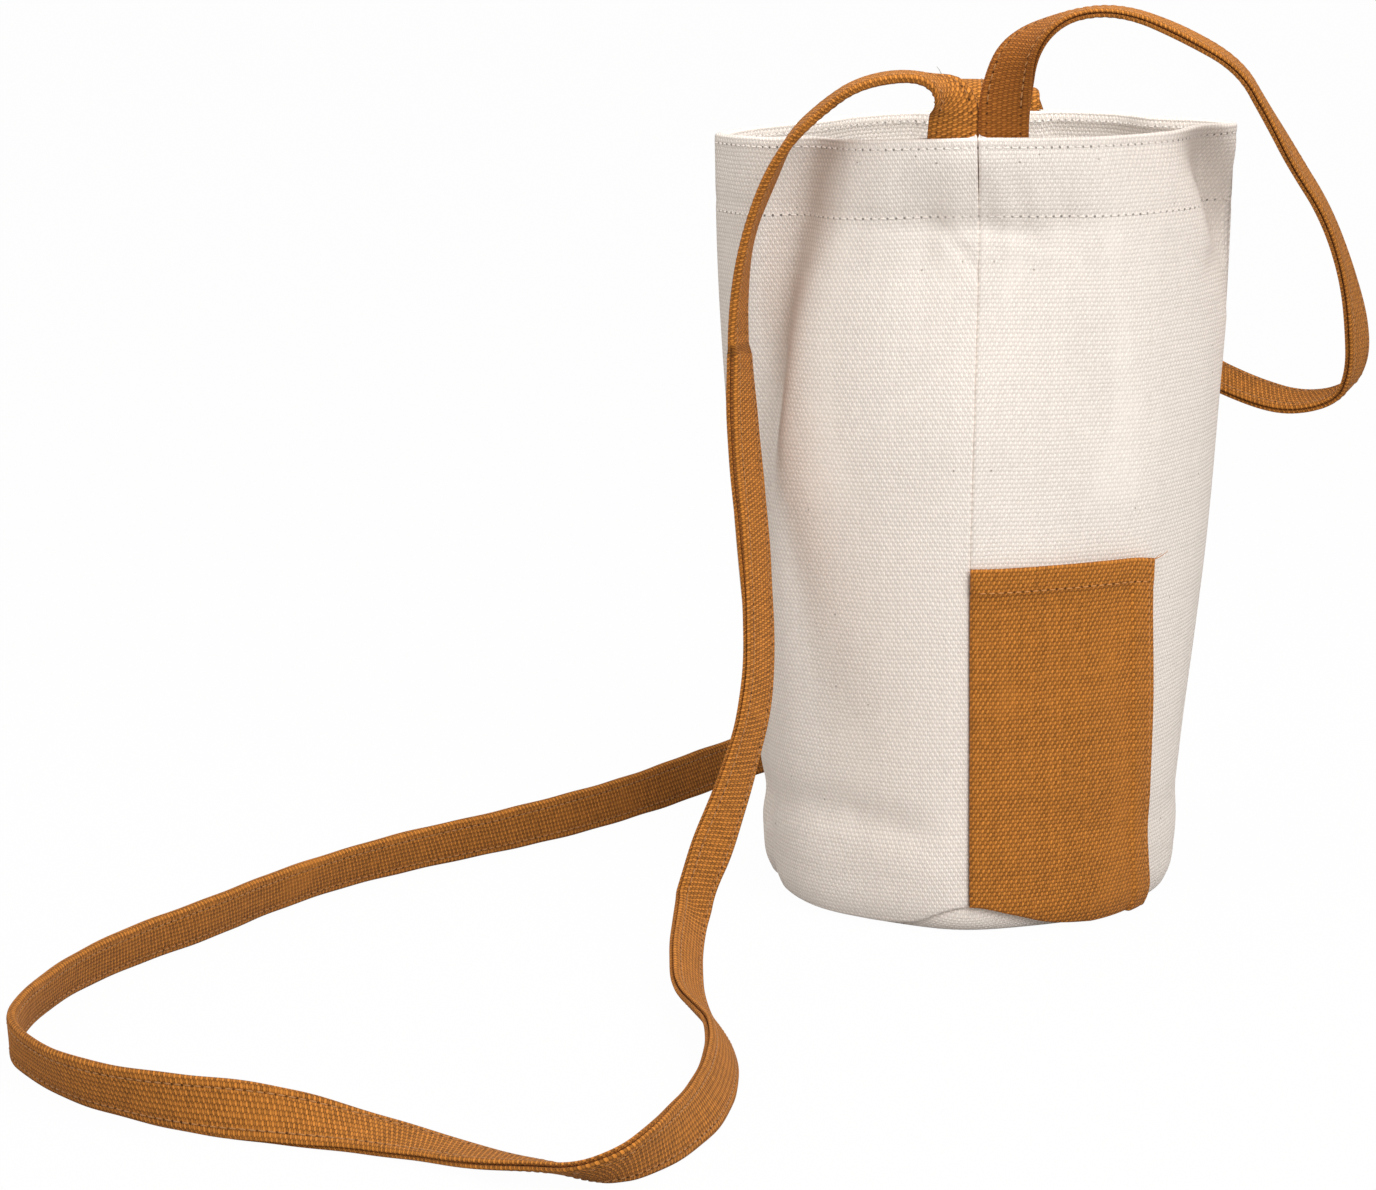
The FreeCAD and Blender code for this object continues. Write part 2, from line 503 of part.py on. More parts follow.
def bent_route(rows):
    """Straight runs joined by tangent arcs: the path's edges, the cross-section places
    (point, direction, across) along it, and the radius of every bend."""
    points = [vec(*p) for p, _ in rows]
    across = [vec(*w) for _, w in rows]
    edges = []
    places = []
    radii = []
    here = points[0]
    places.append((here, (points[1] - points[0]).normalize(), across[0]))
    for i in range(1, len(points) - 1):
        run_in = points[i] - points[i - 1]
        run_out = points[i + 1] - points[i]
        trim = ARC_SHARE * min(run_in.Length, run_out.Length)
        share_in = trim / run_in.Length
        share_out = trim / run_out.Length
        before = across[i] * (1 - share_in) + across[i - 1] * share_in
        after = across[i] * (1 - share_out) + across[i + 1] * share_out
        u = vec(*run_in).normalize()
        v = vec(*run_out).normalize()
        turn = u.getAngle(v)
        radius = trim / math.tan(turn / 2)
        radii.append(radius)
        inward = (v - u).normalize()
        centre = points[i] + inward * (radius / math.cos(turn / 2))
        start = points[i] - u * trim
        end = points[i] + v * trim
        edges.append(Part.LineSegment(here, start).toShape())
        edges.append(Part.Arc(start, centre - inward * radius, end).toShape())
        twist = before.getAngle(across[i]) + across[i].getAngle(after)
        steps = max(2, math.ceil(math.degrees(max(turn, twist)) / ARC_STEP))
        places += twist_places(places[-1], (start, u, before))
        hinge = u.cross(v).normalize()
        for k in range(steps + 1):
            part = k / steps
            spin = FreeCAD.Rotation(hinge, math.degrees(turn) * part)
            place = centre + spin.multVec(start - centre)
            if part < 0.5:
                roll = before * (1 - 2 * part) + across[i] * (2 * part)
            else:
                roll = across[i] * (2 - 2 * part) + after * (2 * part - 1)
            places.append((place, spin.multVec(u), roll))
        here = end
    edges.append(Part.LineSegment(here, points[-1]).toShape())
    last = (points[-1], (points[-1] - points[-2]).normalize(), across[-1])
    places += twist_places(places[-1], last) + [last]
    return edges, places, radii


def make_strap(name, rows):
    """A flat strap: a rectangle of the strap's width and thickness carried along its route."""
    edges, places, radii = bent_route(rows)
    half_width = size("strap_width") / 2
    half_thick = size("strap_thickness") / 2
    wires = []
    for point, along, roll in places:
        side = (roll - along * roll.dot(along)).normalize()
        face = along.cross(side)
        corners = [point + side * (half_width * a) + face * (half_thick * b)
                   for a, b in ((1, 1), (-1, 1), (-1, -1), (1, -1))]
        wires.append(Part.makePolygon(corners + corners[:1]))
    solid = Part.makeLoft(wires, True, True)
    length = Part.Wire(edges).Length
    section = 4 * half_width * half_thick
    print(f"{name}: length {length:.1f}, volume {solid.Volume:.0f},"
          f" section x length {section * length:.0f}, lowest {solid.BoundBox.ZMin:.2f}")
    print(f"{name}: bend radii {' '.join(f'{r:.0f}' for r in radii)}")
    if abs(solid.Volume / (section * length) - 1) > 0.03:
        raise RuntimeError(f"{name} has the wrong volume")
    feature = doc.addObject("Part::Feature", name)
    feature.Label = name
    feature.Shape = solid
    feature.Placement = FreeCAD.Placement()
    NODES.append(feature)
    return feature


make_wall("left_wall", -1)
make_wall("right_wall", 1)
make_facing("left_facing", -1)
make_facing("right_facing", 1)
make_base()
make_pocket()
make_strap("long_strap", LONG_ROUTE)
make_strap("short_strap", SHORT_ROUTE)
doc.recompute()

for item in doc.Objects:
    if "Invalid" in item.State or "Error" in item.State:
        raise RuntimeError(f"{item.Label} failed: {item.State}")
for node in NODES:
    shape = node.Shape
    if shape.isNull() or not shape.isValid() or len(shape.Solids) != 1:
        raise RuntimeError(f"{node.Label} isn't one valid solid")

os.makedirs("parts", exist_ok=True)
for node in NODES:
    node.Shape.exportStep(f"parts/{node.Label}.step")
    box = node.Shape.BoundBox
    print(f"{node.Label}: volume {node.Shape.Volume:.0f},"
          f" x {box.XMin:.1f} {box.XMax:.1f}, y {box.YMin:.1f} {box.YMax:.1f},"
          f" z {box.ZMin:.1f} {box.ZMax:.1f}")
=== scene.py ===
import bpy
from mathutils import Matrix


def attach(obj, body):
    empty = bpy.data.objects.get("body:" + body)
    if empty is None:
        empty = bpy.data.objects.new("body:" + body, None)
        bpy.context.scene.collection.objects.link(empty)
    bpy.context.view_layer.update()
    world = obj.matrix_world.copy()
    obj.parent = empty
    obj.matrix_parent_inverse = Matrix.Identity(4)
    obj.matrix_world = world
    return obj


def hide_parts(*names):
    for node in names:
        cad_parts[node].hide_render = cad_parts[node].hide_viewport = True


bl_info = {
    "name": "Fruit Picking Bag",
    "version": (1, 0, 0),
    "blender": (4, 5, 0),
    "location": "View3D > Sidebar > Picking Bag",
    "description": "Builds a sewn canvas fruit picking bag with two flat straps on its packed frame",
    "category": "Add Mesh",
}

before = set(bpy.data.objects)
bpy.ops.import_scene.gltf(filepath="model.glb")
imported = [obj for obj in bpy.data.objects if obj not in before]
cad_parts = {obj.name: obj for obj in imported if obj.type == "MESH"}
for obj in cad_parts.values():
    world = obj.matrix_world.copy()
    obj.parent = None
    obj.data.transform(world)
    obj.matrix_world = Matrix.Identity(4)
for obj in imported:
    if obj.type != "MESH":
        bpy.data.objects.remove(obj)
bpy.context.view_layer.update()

import math

import bpy
import numpy as np
from mathutils import Vector

MM = 0.001

# The straps' routes in metres: a point, and the direction across the strap.
LONG_ROUTE = [
    ((-0.0074, -0.0436, 0.236), (1, -0.09, 0)), ((-0.0069, -0.0436, 0.2525), (0.95, 0.04, -0.12)),
    ((-0.0062, -0.0442, 0.2626), (0.88, 0.42, -0.22)),
    ((-0.0122, -0.0458, 0.2693), (0.5, 0.85, -0.15)),
    ((-0.022, -0.0455, 0.2713), (0.16, 0.99, 0.02)),
    ((-0.0362, -0.0445, 0.2685), (0.04, 1, 0.03)),
    ((-0.0467, -0.042, 0.2612), (-0.01, 1, 0.06)),
    ((-0.0582, -0.039, 0.2503), (0.05, 0.99, 0.11)),
    ((-0.0652, -0.036, 0.2358), (0.18, 0.98, -0.02)),
    ((-0.0719, -0.0335, 0.2176), (0.07, 1, 0.01)),
    ((-0.0744, -0.032, 0.1982), (0.18, 0.98, 0.01)),
    ((-0.0743, -0.034, 0.1789), (0.28, 0.96, -0.01)),
    ((-0.0731, -0.038, 0.1599), (0.41, 0.91, -0.01)), ((-0.071, -0.043, 0.14), (0.44, 0.9, 0)),
    ((-0.0684, -0.05, 0.119), (0.42, 0.91, 0)), ((-0.066, -0.058, 0.097), (0.45, 0.89, 0)),
    ((-0.0665, -0.067, 0.076), (0.47, 0.88, 0)), ((-0.0713, -0.078, 0.057), (0.54, 0.84, 0)),
    ((-0.0778, -0.09, 0.039), (0.68, 0.72, -0.1)),
    ((-0.0829, -0.1, 0.027), (0.15, -0.06, -0.99)),
    ((-0.0853, -0.109, 0.016), (0.44, -0.02, -0.9)),
    ((-0.0846, -0.1348, 0.0108), (0.55, 0.04, -0.83)),
    ((-0.0815, -0.1575, 0.0072), (0.66, 0.15, -0.74)),
    ((-0.0755, -0.1749, 0.0074), (0.61, 0.19, -0.77)),
    ((-0.0701, -0.1934, 0.0079), (0.51, 0.08, -0.86)),
    ((-0.0681, -0.2197, 0.008), (0.5, 0, -0.87)),
    ((-0.0701, -0.2469, 0.0081), (0.45, -0.07, -0.89)),
    ((-0.0759, -0.2692, 0.0084), (0.16, -0.05, -0.99)),
    ((-0.084, -0.2879, 0.0084), (-0.21, 0.12, -0.97)),
    ((-0.0919, -0.2961, 0.0073), (-0.34, 0.56, -0.76)),
    ((-0.0997, -0.2973, 0.0055), (0.27, 0.83, -0.48)),
    ((-0.112, -0.2895, 0.0044), (0.45, 0.83, -0.33)),
    ((-0.1281, -0.282, 0.003), (0.49, 0.86, -0.16)),
    ((-0.1479, -0.269, 0.0024), (0.41, 0.91, 0.08)),
    ((-0.1678, -0.2642, 0.0047), (0.17, 0.91, 0.38)),
    ((-0.1873, -0.2617, 0.0075), (0.1, 0.61, 0.78)),
    ((-0.2119, -0.257, 0.0084), (0.03, 0.12, 0.99)),
    ((-0.2328, -0.2485, 0.0084), (-0.11, -0.21, 0.97)),
    ((-0.2531, -0.2351, 0.0083), (-0.23, -0.25, 0.94)),
    ((-0.2691, -0.2154, 0.0084), (-0.22, -0.14, 0.97)),
    ((-0.2761, -0.1985, 0.0083), (0.01, 0, 1)),
    ((-0.2764, -0.1727, 0.0083), (0.33, -0.03, 0.94)),
    ((-0.2704, -0.1431, 0.0083), (0.35, -0.11, 0.93)),
    ((-0.2582, -0.1145, 0.0082), (0.35, -0.19, 0.92)),
    ((-0.2399, -0.087, 0.0084), (0.27, -0.16, 0.95)),
    ((-0.2203, -0.0479, 0.0083), (0.33, -0.2, 0.92)),
    ((-0.1935, -0.0124, 0.0083), (0.27, -0.25, 0.93)),
    ((-0.1633, 0.0143, 0.0084), (0.19, -0.2, 0.96)),
    ((-0.1335, 0.0444, 0.0084), (0.11, -0.1, 0.99)),
    ((-0.1115, 0.0742, 0.0083), (0.03, -0.02, 1)),
    ((-0.0936, 0.1029, 0.0084), (-0.06, 0.04, 1)), ((-0.076, 0.129, 0.0086), (0, 0.1, 1)),
    ((-0.055, 0.147, 0.0087), (0.1, 0.3, 0.95)), ((-0.032, 0.151, 0.0086), (0.2, 0.61, 0.76)),
    ((-0.014, 0.141, 0.007), (0.64, 0.64, 0.43)), ((-0.0055, 0.124, 0.006), (0.95, 0.3, 0.1)),
    ((-0.0036, 0.107, 0.012), (1, 0, 0)), ((-0.0033, 0.095, 0.027), (1, 0, 0)),
    ((-0.0031, 0.088, 0.048), (1, 0, 0)), ((-0.0033, 0.084, 0.075), (1, 0, 0)),
    ((-0.0031, 0.0815, 0.106), (1, 0, 0)), ((-0.0033, 0.08, 0.14), (1, 0, 0)),
    ((-0.0031, 0.0785, 0.175), (1, 0, 0)), ((-0.0033, 0.076, 0.206), (1, 0, 0)),
    ((-0.0031, 0.072, 0.231), (1, 0, 0)), ((-0.0032, 0.067, 0.247), (1, 0, 0)),
    ((-0.0032, 0.0615, 0.2565), (1, 0, 0)), ((-0.0032, 0.0545, 0.26), (1, 0, 0)),
    ((-0.0032, 0.0475, 0.2585), (1, 0.03, 0)), ((-0.0032, 0.044, 0.254), (1, 0.03, 0)),
    ((-0.0032, 0.044, 0.238), (1, 0.03, 0)),
]
SHORT_ROUTE = [
    ((0.0087, -0.0436, 0.236), (-1, -0.09, 0)), ((0.0087, -0.0436, 0.2545), (-1, -0.09, 0)),
    ((0.0094, -0.0443, 0.2665), (-0.95, 0.3, -0.03)),
    ((0.0133, -0.0458, 0.2796), (-0.76, 0.62, -0.14)),
    ((0.0266, -0.046, 0.2897), (-0.39, 0.91, -0.16)),
    ((0.0442, -0.044, 0.2917), (-0.21, 0.98, 0.06)),
    ((0.0638, -0.04, 0.2841), (-0.02, 0.99, 0.13)),
    ((0.0818, -0.035, 0.2737), (0.07, 0.99, 0.08)), ((0.0908, -0.029, 0.2587), (0.09, 1, 0.01)),
    ((0.1003, -0.022, 0.243), (0.23, 0.97, 0.03)),
    ((0.1112, -0.014, 0.2263), (0.19, 0.98, -0.04)),
    ((0.119, -0.006, 0.2073), (0.26, 0.96, -0.08)),
    ((0.1239, 0.001, 0.1879), (0.41, 0.91, -0.06)),
    ((0.1255, 0.008, 0.1728), (0.43, 0.9, -0.02)),
    ((0.1218, 0.014, 0.1623), (0.24, 0.97, 0.08)), ((0.1073, 0.019, 0.158), (0.11, 0.97, 0.21)),
    ((0.0928, 0.025, 0.1609), (0.06, 0.91, 0.4)), ((0.0732, 0.033, 0.1689), (0.07, 0.91, 0.4)),
    ((0.066, 0.044, 0.179), (0.42, 0.74, 0.53)), ((0.052, 0.056, 0.193), (0.69, 0.53, 0.48)),
    ((0.038, 0.067, 0.211), (0.88, 0.31, 0.36)), ((0.026, 0.072, 0.229), (0.98, 0.1, 0.2)),
    ((0.0175, 0.07, 0.242), (1, 0, -0.1)), ((0.0142, 0.066, 0.251), (1, 0, -0.2)),
    ((0.0133, 0.061, 0.2565), (1, 0, -0.25)), ((0.0133, 0.0535, 0.2583), (1, -0.05, -0.2)),
    ((0.0133, 0.0468, 0.2572), (0.99, -0.13, -0.08)), ((0.0133, 0.0431, 0.254), (0.99, -0.14, 0)),
    ((0.0133, 0.0431, 0.238), (0.99, -0.14, 0)),
]

# The bag's outline in millimetres at heights from the floor up, and at each how far it has turned from an
# oval into two arcs that meet at the corners. The foot has slight lobes.
LEVELS = (0, 6, 16, 40, 80, 120, 160, 200, 225, 253)
HALF_WIDTH = (63.4, 66.3, 67.8, 69.4, 73.6, 77.4, 80.4, 82.6, 83.5, 84.1)
HALF_DEPTH = (63.2, 65.2, 65.6, 64.4, 62.0, 59.4, 56.2, 52.4, 49.8, 47.0)
LENS_SHARE = (0, 0, 0.02, 0.12, 0.28, 0.44, 0.61, 0.79, 0.9, 1.0)
LENS_TURN = math.radians(58.44)
LENS_OFFSET = 51.6
LENS_RADIUS = 98.6
FAR_SEAM_X = 5.0
FOOT_LOBES, LOBE_SHARE = 8, 0.010

# Sizes of the cloth in millimetres: PANEL_REACH is the way along it from a seam to the corner, RIM_ROWS are
# the drops below the rim of its two rows of stitches, SEAM_PULL is how far beside the near seam the cloth
# puckers, and a strap's end takes the room of STRAP_ROOM, more by ROOM_GAIN lower down, out to ROOM_EDGE.
PANEL_REACH = 102.0
CLOTH = 1.0
SEAM_RADIUS = 1.25
SEAM_ALLOWANCE = 8.0
RIM_RADIUS = 1.05
FOOT_RADIUS = 1.3
RIM_HEIGHT = 252.0
RIM_LEVEL = 251.0
RIM_ROWS = (3.2, 25.0)
FACING_DEPTH = 26.0
FACING_INSET = 2.15
FOOT_LOWEST = 1.1
BASE_LIFT = 0.35
BASE_TURN = 5.0
SEAM_PULL = 34.0
STRAP_ROOM, ROOM_GAIN = 3.4, 1.4
ROOM_EDGE = (19.0, 25.0)
STITCH_PITCH = PANEL_REACH / 39

# How finely the pieces are divided.
BASE_CORNERS = 180
WALL_ROWS = 140
OUTLINE_POINTS = 500

# Soft folds in the cloth: side (-1 left, 1 right) and whether near or far, then heights and, at each,
# the fold's distance from the seam, its depth, and its width towards the seam and towards the corner.
FOLDS = [
    (-1, "near", (60, 110, 160, 200, 225, 253), (90, 83, 76, 70, 65, 58), (2.6, 5.2, 7.2, 8.2, 8.4, 6.0),
     (6, 6, 7, 9, 13, 16), (9, 8, 8, 8, 9, 10)),
    (1, "near", (190, 208, 226, 242, 253), (101, 100, 97, 90, 84), (0, 3.0, 8.5, 9.0, 1.5),
     (8, 8, 10, 12, 12), (5, 5, 6, 7, 8)),
    (-1, "far", (90, 160, 253), (84, 72, 60), (0, 3.0, 5.5), (8, 9, 12), (10, 12, 16)),
    (1, "far", (110, 180, 253), (80, 74, 66), (0, 2.6, 5.0), (8, 9, 12), (10, 12, 14)),
]

# Where a near half is drawn in beside the seam: for each side how wide, and how strongly.
HOLLOWS = {-1: (66.0, 11.0), 1: (58.0, 8.0)}

# Dents in the near halves: side, depth (a swelling's is negative), distance from the seam, height, their
# half widths along and up, the lean along the cloth per millimetre up, and the drop per millimetre along.
DENTS = [
    (-1, 1.6, 97, 30, 9, 9, 0, 0), (-1, 0.55, 18, 176, 4, 9, 0.9, 0), (-1, -0.9, 40, 205, 22, 30, 0, 0),
    (-1, 1.1, 6, 217, 2.8, 8, -0.9, 0), (-1, 1.9, 18, 222, 6, 18, 0, 0),
    (1, 1.5, 90, 207, 6, 6, 0, 0), (1, 0.8, 35.1, 176, 7, 20, 0.15, 0), (1, -0.9, 42, 215, 16, 40, 0, 0),
    (1, 0.7, 15, 221, 12, 2.6, 0, 0.25), (1, 1.7, 30, 226, 5, 12, 0, 0), (1, -1.0, 52, 150, 18, 40, 0, 0),
]


def soft_step(low, high, value):
    """0 below low and 1 above high, smooth between."""
    share = np.clip((value - low) / (high - low), 0.0, 1.0)
    return share * share * (3 - 2 * share)


def bump(value, centre, width):
    """A smooth hump of height 1 round a centre."""
    return np.exp(-(((value - centre) / width) ** 2))


def unit(vectors):
    """Vectors made one long."""
    return vectors / np.maximum(np.linalg.norm(vectors, axis=-1, keepdims=True), 1e-9)


def smooth_table(stations, values, at):
    """A smooth curve through a table of values, level beyond its ends."""
    stations, values = np.asarray(stations, float), np.asarray(values, float)
    slopes = np.gradient(values, stations)
    at = np.clip(at, stations[0], stations[-1])
    first = np.clip(np.searchsorted(stations, at) - 1, 0, len(stations) - 2)
    span = stations[first + 1] - stations[first]
    t = (at - stations[first]) / span
    return (
        (1 + 2 * t) * (1 - t) ** 2 * values[first]
        + t * (1 - t) ** 2 * span * slopes[first]
        + t * t * (3 - 2 * t) * values[first + 1]
        + t * t * (t - 1) * span * slopes[first + 1]
    )


def lengths_along(points):
    """The distance along a line to each of its points."""
    return np.concatenate([[0.0], np.cumsum(np.linalg.norm(np.diff(points, axis=0), axis=1))])


def read_line(at, along, points):
    """Points read off a line at given distances along it."""
    return np.stack([np.interp(at, along, column) for column in points.T], axis=-1)


def rim_height(x, far):
    """Height of the rim in millimetres over x; the left corner sags a little."""
    near = smooth_table((-84, -40, 0, 40, 84), (248.2, 250.4, 252.2, 252.0, 252.4), x)
    back = smooth_table((-84, -40, 0, 40, 84), (248.2, 250.6, 251.6, 252.0, 252.4), x)
    return np.where(far, back, near)


def foot_height(u, side, far):
    """Height of the walls' sewn lower edge over the distance from the seam; it lifts at the seams."""
    signed = u * side
    near = smooth_table((-42, -26, -17, -7, 0, 14, 25, 42), (1.1, 1.4, 2.9, 7.6, 9.2, 6.4, 3.2, 1.1), signed)
    back = smooth_table((-40, -18, 0, 18, 40), (1.1, 2.4, 5.0, 2.6, 1.1), signed)
    return np.where(far, back, near)


def seam_bulge(side, u, z):
    """Beside the near seam the rim leans out over the straps' ends, and the cloth below it draws in."""
    drawn_in = soft_step(150, 217, z) * (1 - soft_step(217, 250, z))
    return bump(u, 0, 44.0 if side < 0 else 28.0) * (2.6 * soft_step(222, 251, z) - 4.8 * drawn_in)


def quarters(angles):
    """Angles from the near seam, the same from the nearer seam, and whether that one is the far seam."""
    wrapped = (angles + math.pi) % (2 * math.pi) - math.pi
    far = np.abs(wrapped) > math.pi / 2
    return wrapped, np.where(far, np.sign(wrapped) * (math.pi - np.abs(wrapped)), wrapped), far


class BagShape:
    """The outer surface of the two wall panels as a table over height and distance along the cloth."""

    NEAR_COLUMNS = 64
    FAR_COLUMNS = 56

    def __init__(self):
        self.heights = np.arange(0.0, 256.0, 1.0)
        self.sides = {side: self.make_side(side) for side in (-1, 1)}

    def near_seam_x(self, z):
        """Where the near seam runs, which wanders a little on its way up."""
        return smooth_table((0, 60, 120, 170, 226, 253), (1.0, 0.4, 0.0, 1.0, 2.1, 1.2), z)

    def outline(self, z, angles):
        """Points at one height; an angle of 0 faces the near seam and grows towards +X."""
        half_width, half_depth, lens = (
            smooth_table(LEVELS, values, z) for values in (HALF_WIDTH, HALF_DEPTH, LENS_SHARE)
        )
        wrapped, quarter, far = quarters(angles)
        turn = quarter / (math.pi / 2) * LENS_TURN
        lens_x = np.sin(turn) * half_width / math.sin(LENS_TURN)
        lens_y = (LENS_RADIUS * np.cos(turn) - LENS_OFFSET) * half_depth / (LENS_RADIUS - LENS_OFFSET)
        x = (1 - lens) * half_width * np.sin(quarter) + lens * lens_x
        y = (1 - lens) * half_depth * np.cos(quarter) + lens * lens_y
        lobes = 1 + LOBE_SHARE * np.cos(FOOT_LOBES * wrapped + 0.5) * (1 - soft_step(14, 42, z))
        return np.stack([x, np.where(far, y, -y)], axis=-1) * lobes[..., None]

    def make_side(self, side):
        """One panel's points, a row for each height, from the near seam round to the far one."""
        rows = []
        for z in self.heights:
            half_width = smooth_table(LEVELS, HALF_WIDTH, z)
            start = math.asin(self.near_seam_x(z) / half_width) * side
            finish = math.pi - math.asin(FAR_SEAM_X / half_width) * side
            near = self.part(z, side, start, math.pi / 2, self.NEAR_COLUMNS, False)
            far = self.part(z, side, math.pi / 2, finish, self.FAR_COLUMNS, True)
            rows.append(np.concatenate([near, far[1:]]))
        return np.array(rows)

    def part(self, z, side, start, finish, columns, far):
        """One stretch of outline from a seam to the corner or back, folded, with evenly spaced points."""
        points = self.outline(z, np.linspace(start, finish, OUTLINE_POINTS) * side)
        along = lengths_along(points)
        reach = (along[-1] - along if far else along) * PANEL_REACH / along[-1]
        tangent = unit(np.gradient(points, axis=0))
        outward = np.stack([tangent[:, 1], -tangent[:, 0]], axis=1) * side
        points = points + outward * self.folds(side, far, reach, z)[:, None]
        along = lengths_along(points)
        return read_line(np.linspace(0, along[-1], columns + 1), along, points)

    def folds(self, side, far, u, z):
        """How far the cloth stands out of its plain outline, in millimetres."""
        out = np.zeros_like(u)
        for fold_side, place, levels, *tables in FOLDS:
            if fold_side == side and (place == "far") == far:
                centre, depth, to_seam, to_corner = (smooth_table(levels, table, z) for table in tables)
                out -= depth * bump(u, centre, np.where(u < centre, to_seam, to_corner))
        # The rows of stitches and the seam draw it in; it waves gently and creases above the foot.
        drop = RIM_HEIGHT - z
        out -= (0.25 + 0.45 * bump(u, 0, SEAM_PULL)) * bump(drop, RIM_ROWS[1], 1.5)
        out -= 0.30 * bump(drop, RIM_ROWS[0], 1.1)
        out -= 0.7 * bump(u, 0, 5.0) * soft_step(4, 20, z)
        out += 0.35 * np.sin(u / 17.0 + z / 41.0 + side) * np.sin(z / 27.0 + side * 1.7 + far * 2.0)
        crease = 0.5 if side > 0 and not far else 1.5
        out -= crease * bump(z, 33 + 3 * np.sin(u / 19.0 + side), 6.5) * soft_step(2, 26, u)
        return out if far else out + self.near_folds(side, u, z)

    def near_folds(self, side, u, z):
        """What only a near half has: the pull of the straps' ends, fine puckers under the rim, and dents."""
        width, strength = HOLLOWS[side]
        flat = np.clip(u / width, 0, 1)
        out = seam_bulge(side, u, z)
        out -= strength * flat * (1 - flat) * soft_step(12, 70, z) * (1 - 0.9 * soft_step(205, 240, z))
        drop, near_seam = RIM_HEIGHT - z, bump(u, 0, SEAM_PULL)
        out -= 1.3 * near_seam * bump(drop, FACING_DEPTH + 2.5, 2.6)
        out += 0.42 * near_seam * np.sin(u / 1.9 + z / 8.0) * bump(drop, 22.0, 13.0)
        for dent_side, depth, u_at, z_at, u_wide, z_wide, lean, fall in DENTS:
            if dent_side == side:
                leaned, fallen = u + (z - z_at) * lean, z + (u - u_at) * fall
                out -= depth * bump(leaned, u_at, u_wide) * bump(fallen, z_at, z_wide)
        return out

    def at(self, side, column, z, offset=0.0):
        """Points at fractional columns and heights, moved outwards by an offset; millimetres."""
        column, z, offset = np.broadcast_arrays(
            np.asarray(column, float), np.asarray(z, float), np.asarray(offset, float)
        )
        along = self.sample(side, column + 0.5, z) - self.sample(side, column - 0.5, z)
        up = self.sample(side, column, z + 1.5) - self.sample(side, column, z - 1.5)
        return self.sample(side, column, z) + unit(np.cross(along, up) * side) * offset[..., None]

    def sample(self, side, column, z):
        """Points at fractional columns and heights, read between the table's nearest four."""
        table = self.sides[side]
        last = table.shape[1] - 1
        column = np.clip(column, 0, last)
        level = np.clip(z, 0, self.heights[-1] - 0.001)
        left = np.minimum(column.astype(int), last - 1)
        low = level.astype(int)
        along, up = (column - left)[..., None], (level - low)[..., None]
        flat = (
            table[low, left] * (1 - along) * (1 - up)
            + table[low, left + 1] * along * (1 - up)
            + table[low + 1, left] * (1 - along) * up
            + table[low + 1, left + 1] * along * up
        )
        return np.concatenate([flat, z[..., None]], axis=-1)

    def column_of(self, u, far):
        """The column at a distance from the near seam, or from the far seam on the far half."""
        share = np.asarray(u, float) / PANEL_REACH
        return np.where(far, self.NEAR_COLUMNS + self.FAR_COLUMNS * (1 - share), self.NEAR_COLUMNS * share)

    def reach_of(self, column):
        """The distance from its half's own seam at each column, and whether that half is the far one."""
        far = column > self.NEAR_COLUMNS
        share = np.where(far, 1 - (column - self.NEAR_COLUMNS) / self.FAR_COLUMNS, column / self.NEAR_COLUMNS)
        return share * PANEL_REACH, far

    def rim_at(self, side, column, far):
        """Height of the rim at fractional columns of a panel."""
        return rim_height(self.sample(side, column, np.full_like(column, RIM_LEVEL))[:, 0], far)


SHAPE = BagShape()


def add_object(name, data):
    """An object in the scene, at the origin until something moves it."""
    made = bpy.data.objects.new(name, data)
    bpy.context.scene.collection.objects.link(made)
    return made


def make_object(name, points, faces, material, uvs=None):
    """A mesh object at the origin from points in metres; uvs has one pair per point."""
    mesh = bpy.data.meshes.new(name)
    mesh.from_pydata([tuple(p) for p in points], [], faces)
    if uvs is not None:
        layer = mesh.uv_layers.new(name="cloth")
        corner = np.zeros(len(mesh.loops), dtype=np.int32)
        mesh.loops.foreach_get("vertex_index", corner)
        layer.data.foreach_set("uv", np.asarray(uvs, np.float32)[corner].ravel())
    mesh.polygons.foreach_set("use_smooth", np.ones(len(mesh.polygons), dtype=bool))
    mesh.update()
    mesh.materials.append(material)
    return add_object(name, mesh)


def grid_faces(rows, columns, flip=False, ring=False):
    """Quads over a grid of points held row by row; ring joins the last column to the first."""
    faces = []
    for low in range(0, (rows - 1) * columns, columns):
        high = low + columns
        for left in range(columns if ring else columns - 1):
            right = (left + 1) % columns
            quad = (low + left, low + right, high + right, high + left)
            faces.append(quad[::-1] if flip else quad)
    return faces


def shifted(faces, by):
    """The same faces over points that start further on."""
    return [tuple(by + n for n in face) for face in faces]


def tube_faces(rings, sides):
    """Quads round a tube of rings, and a flat face on each end."""
    ends = [tuple(range(sides))[::-1], tuple(range((rings - 1) * sides, rings * sides))]
    return grid_faces(rings, sides, ring=True) + ends


def apply_modifiers(made):
    """Bakes the live modifiers into the object's mesh."""
    graph = bpy.context.evaluated_depsgraph_get()
    baked = bpy.data.meshes.new_from_object(made.evaluated_get(graph))
    made.modifiers.clear()
    old = made.data
    made.data = baked
    bpy.data.meshes.remove(old)


def thicken(made):
    """Gives a sheet the thickness of the canvas, behind its face."""
    solid = made.modifiers.new("Thickness", "SOLIDIFY")
    solid.thickness = CLOTH * MM
    solid.offset = -1.0
    apply_modifiers(made)


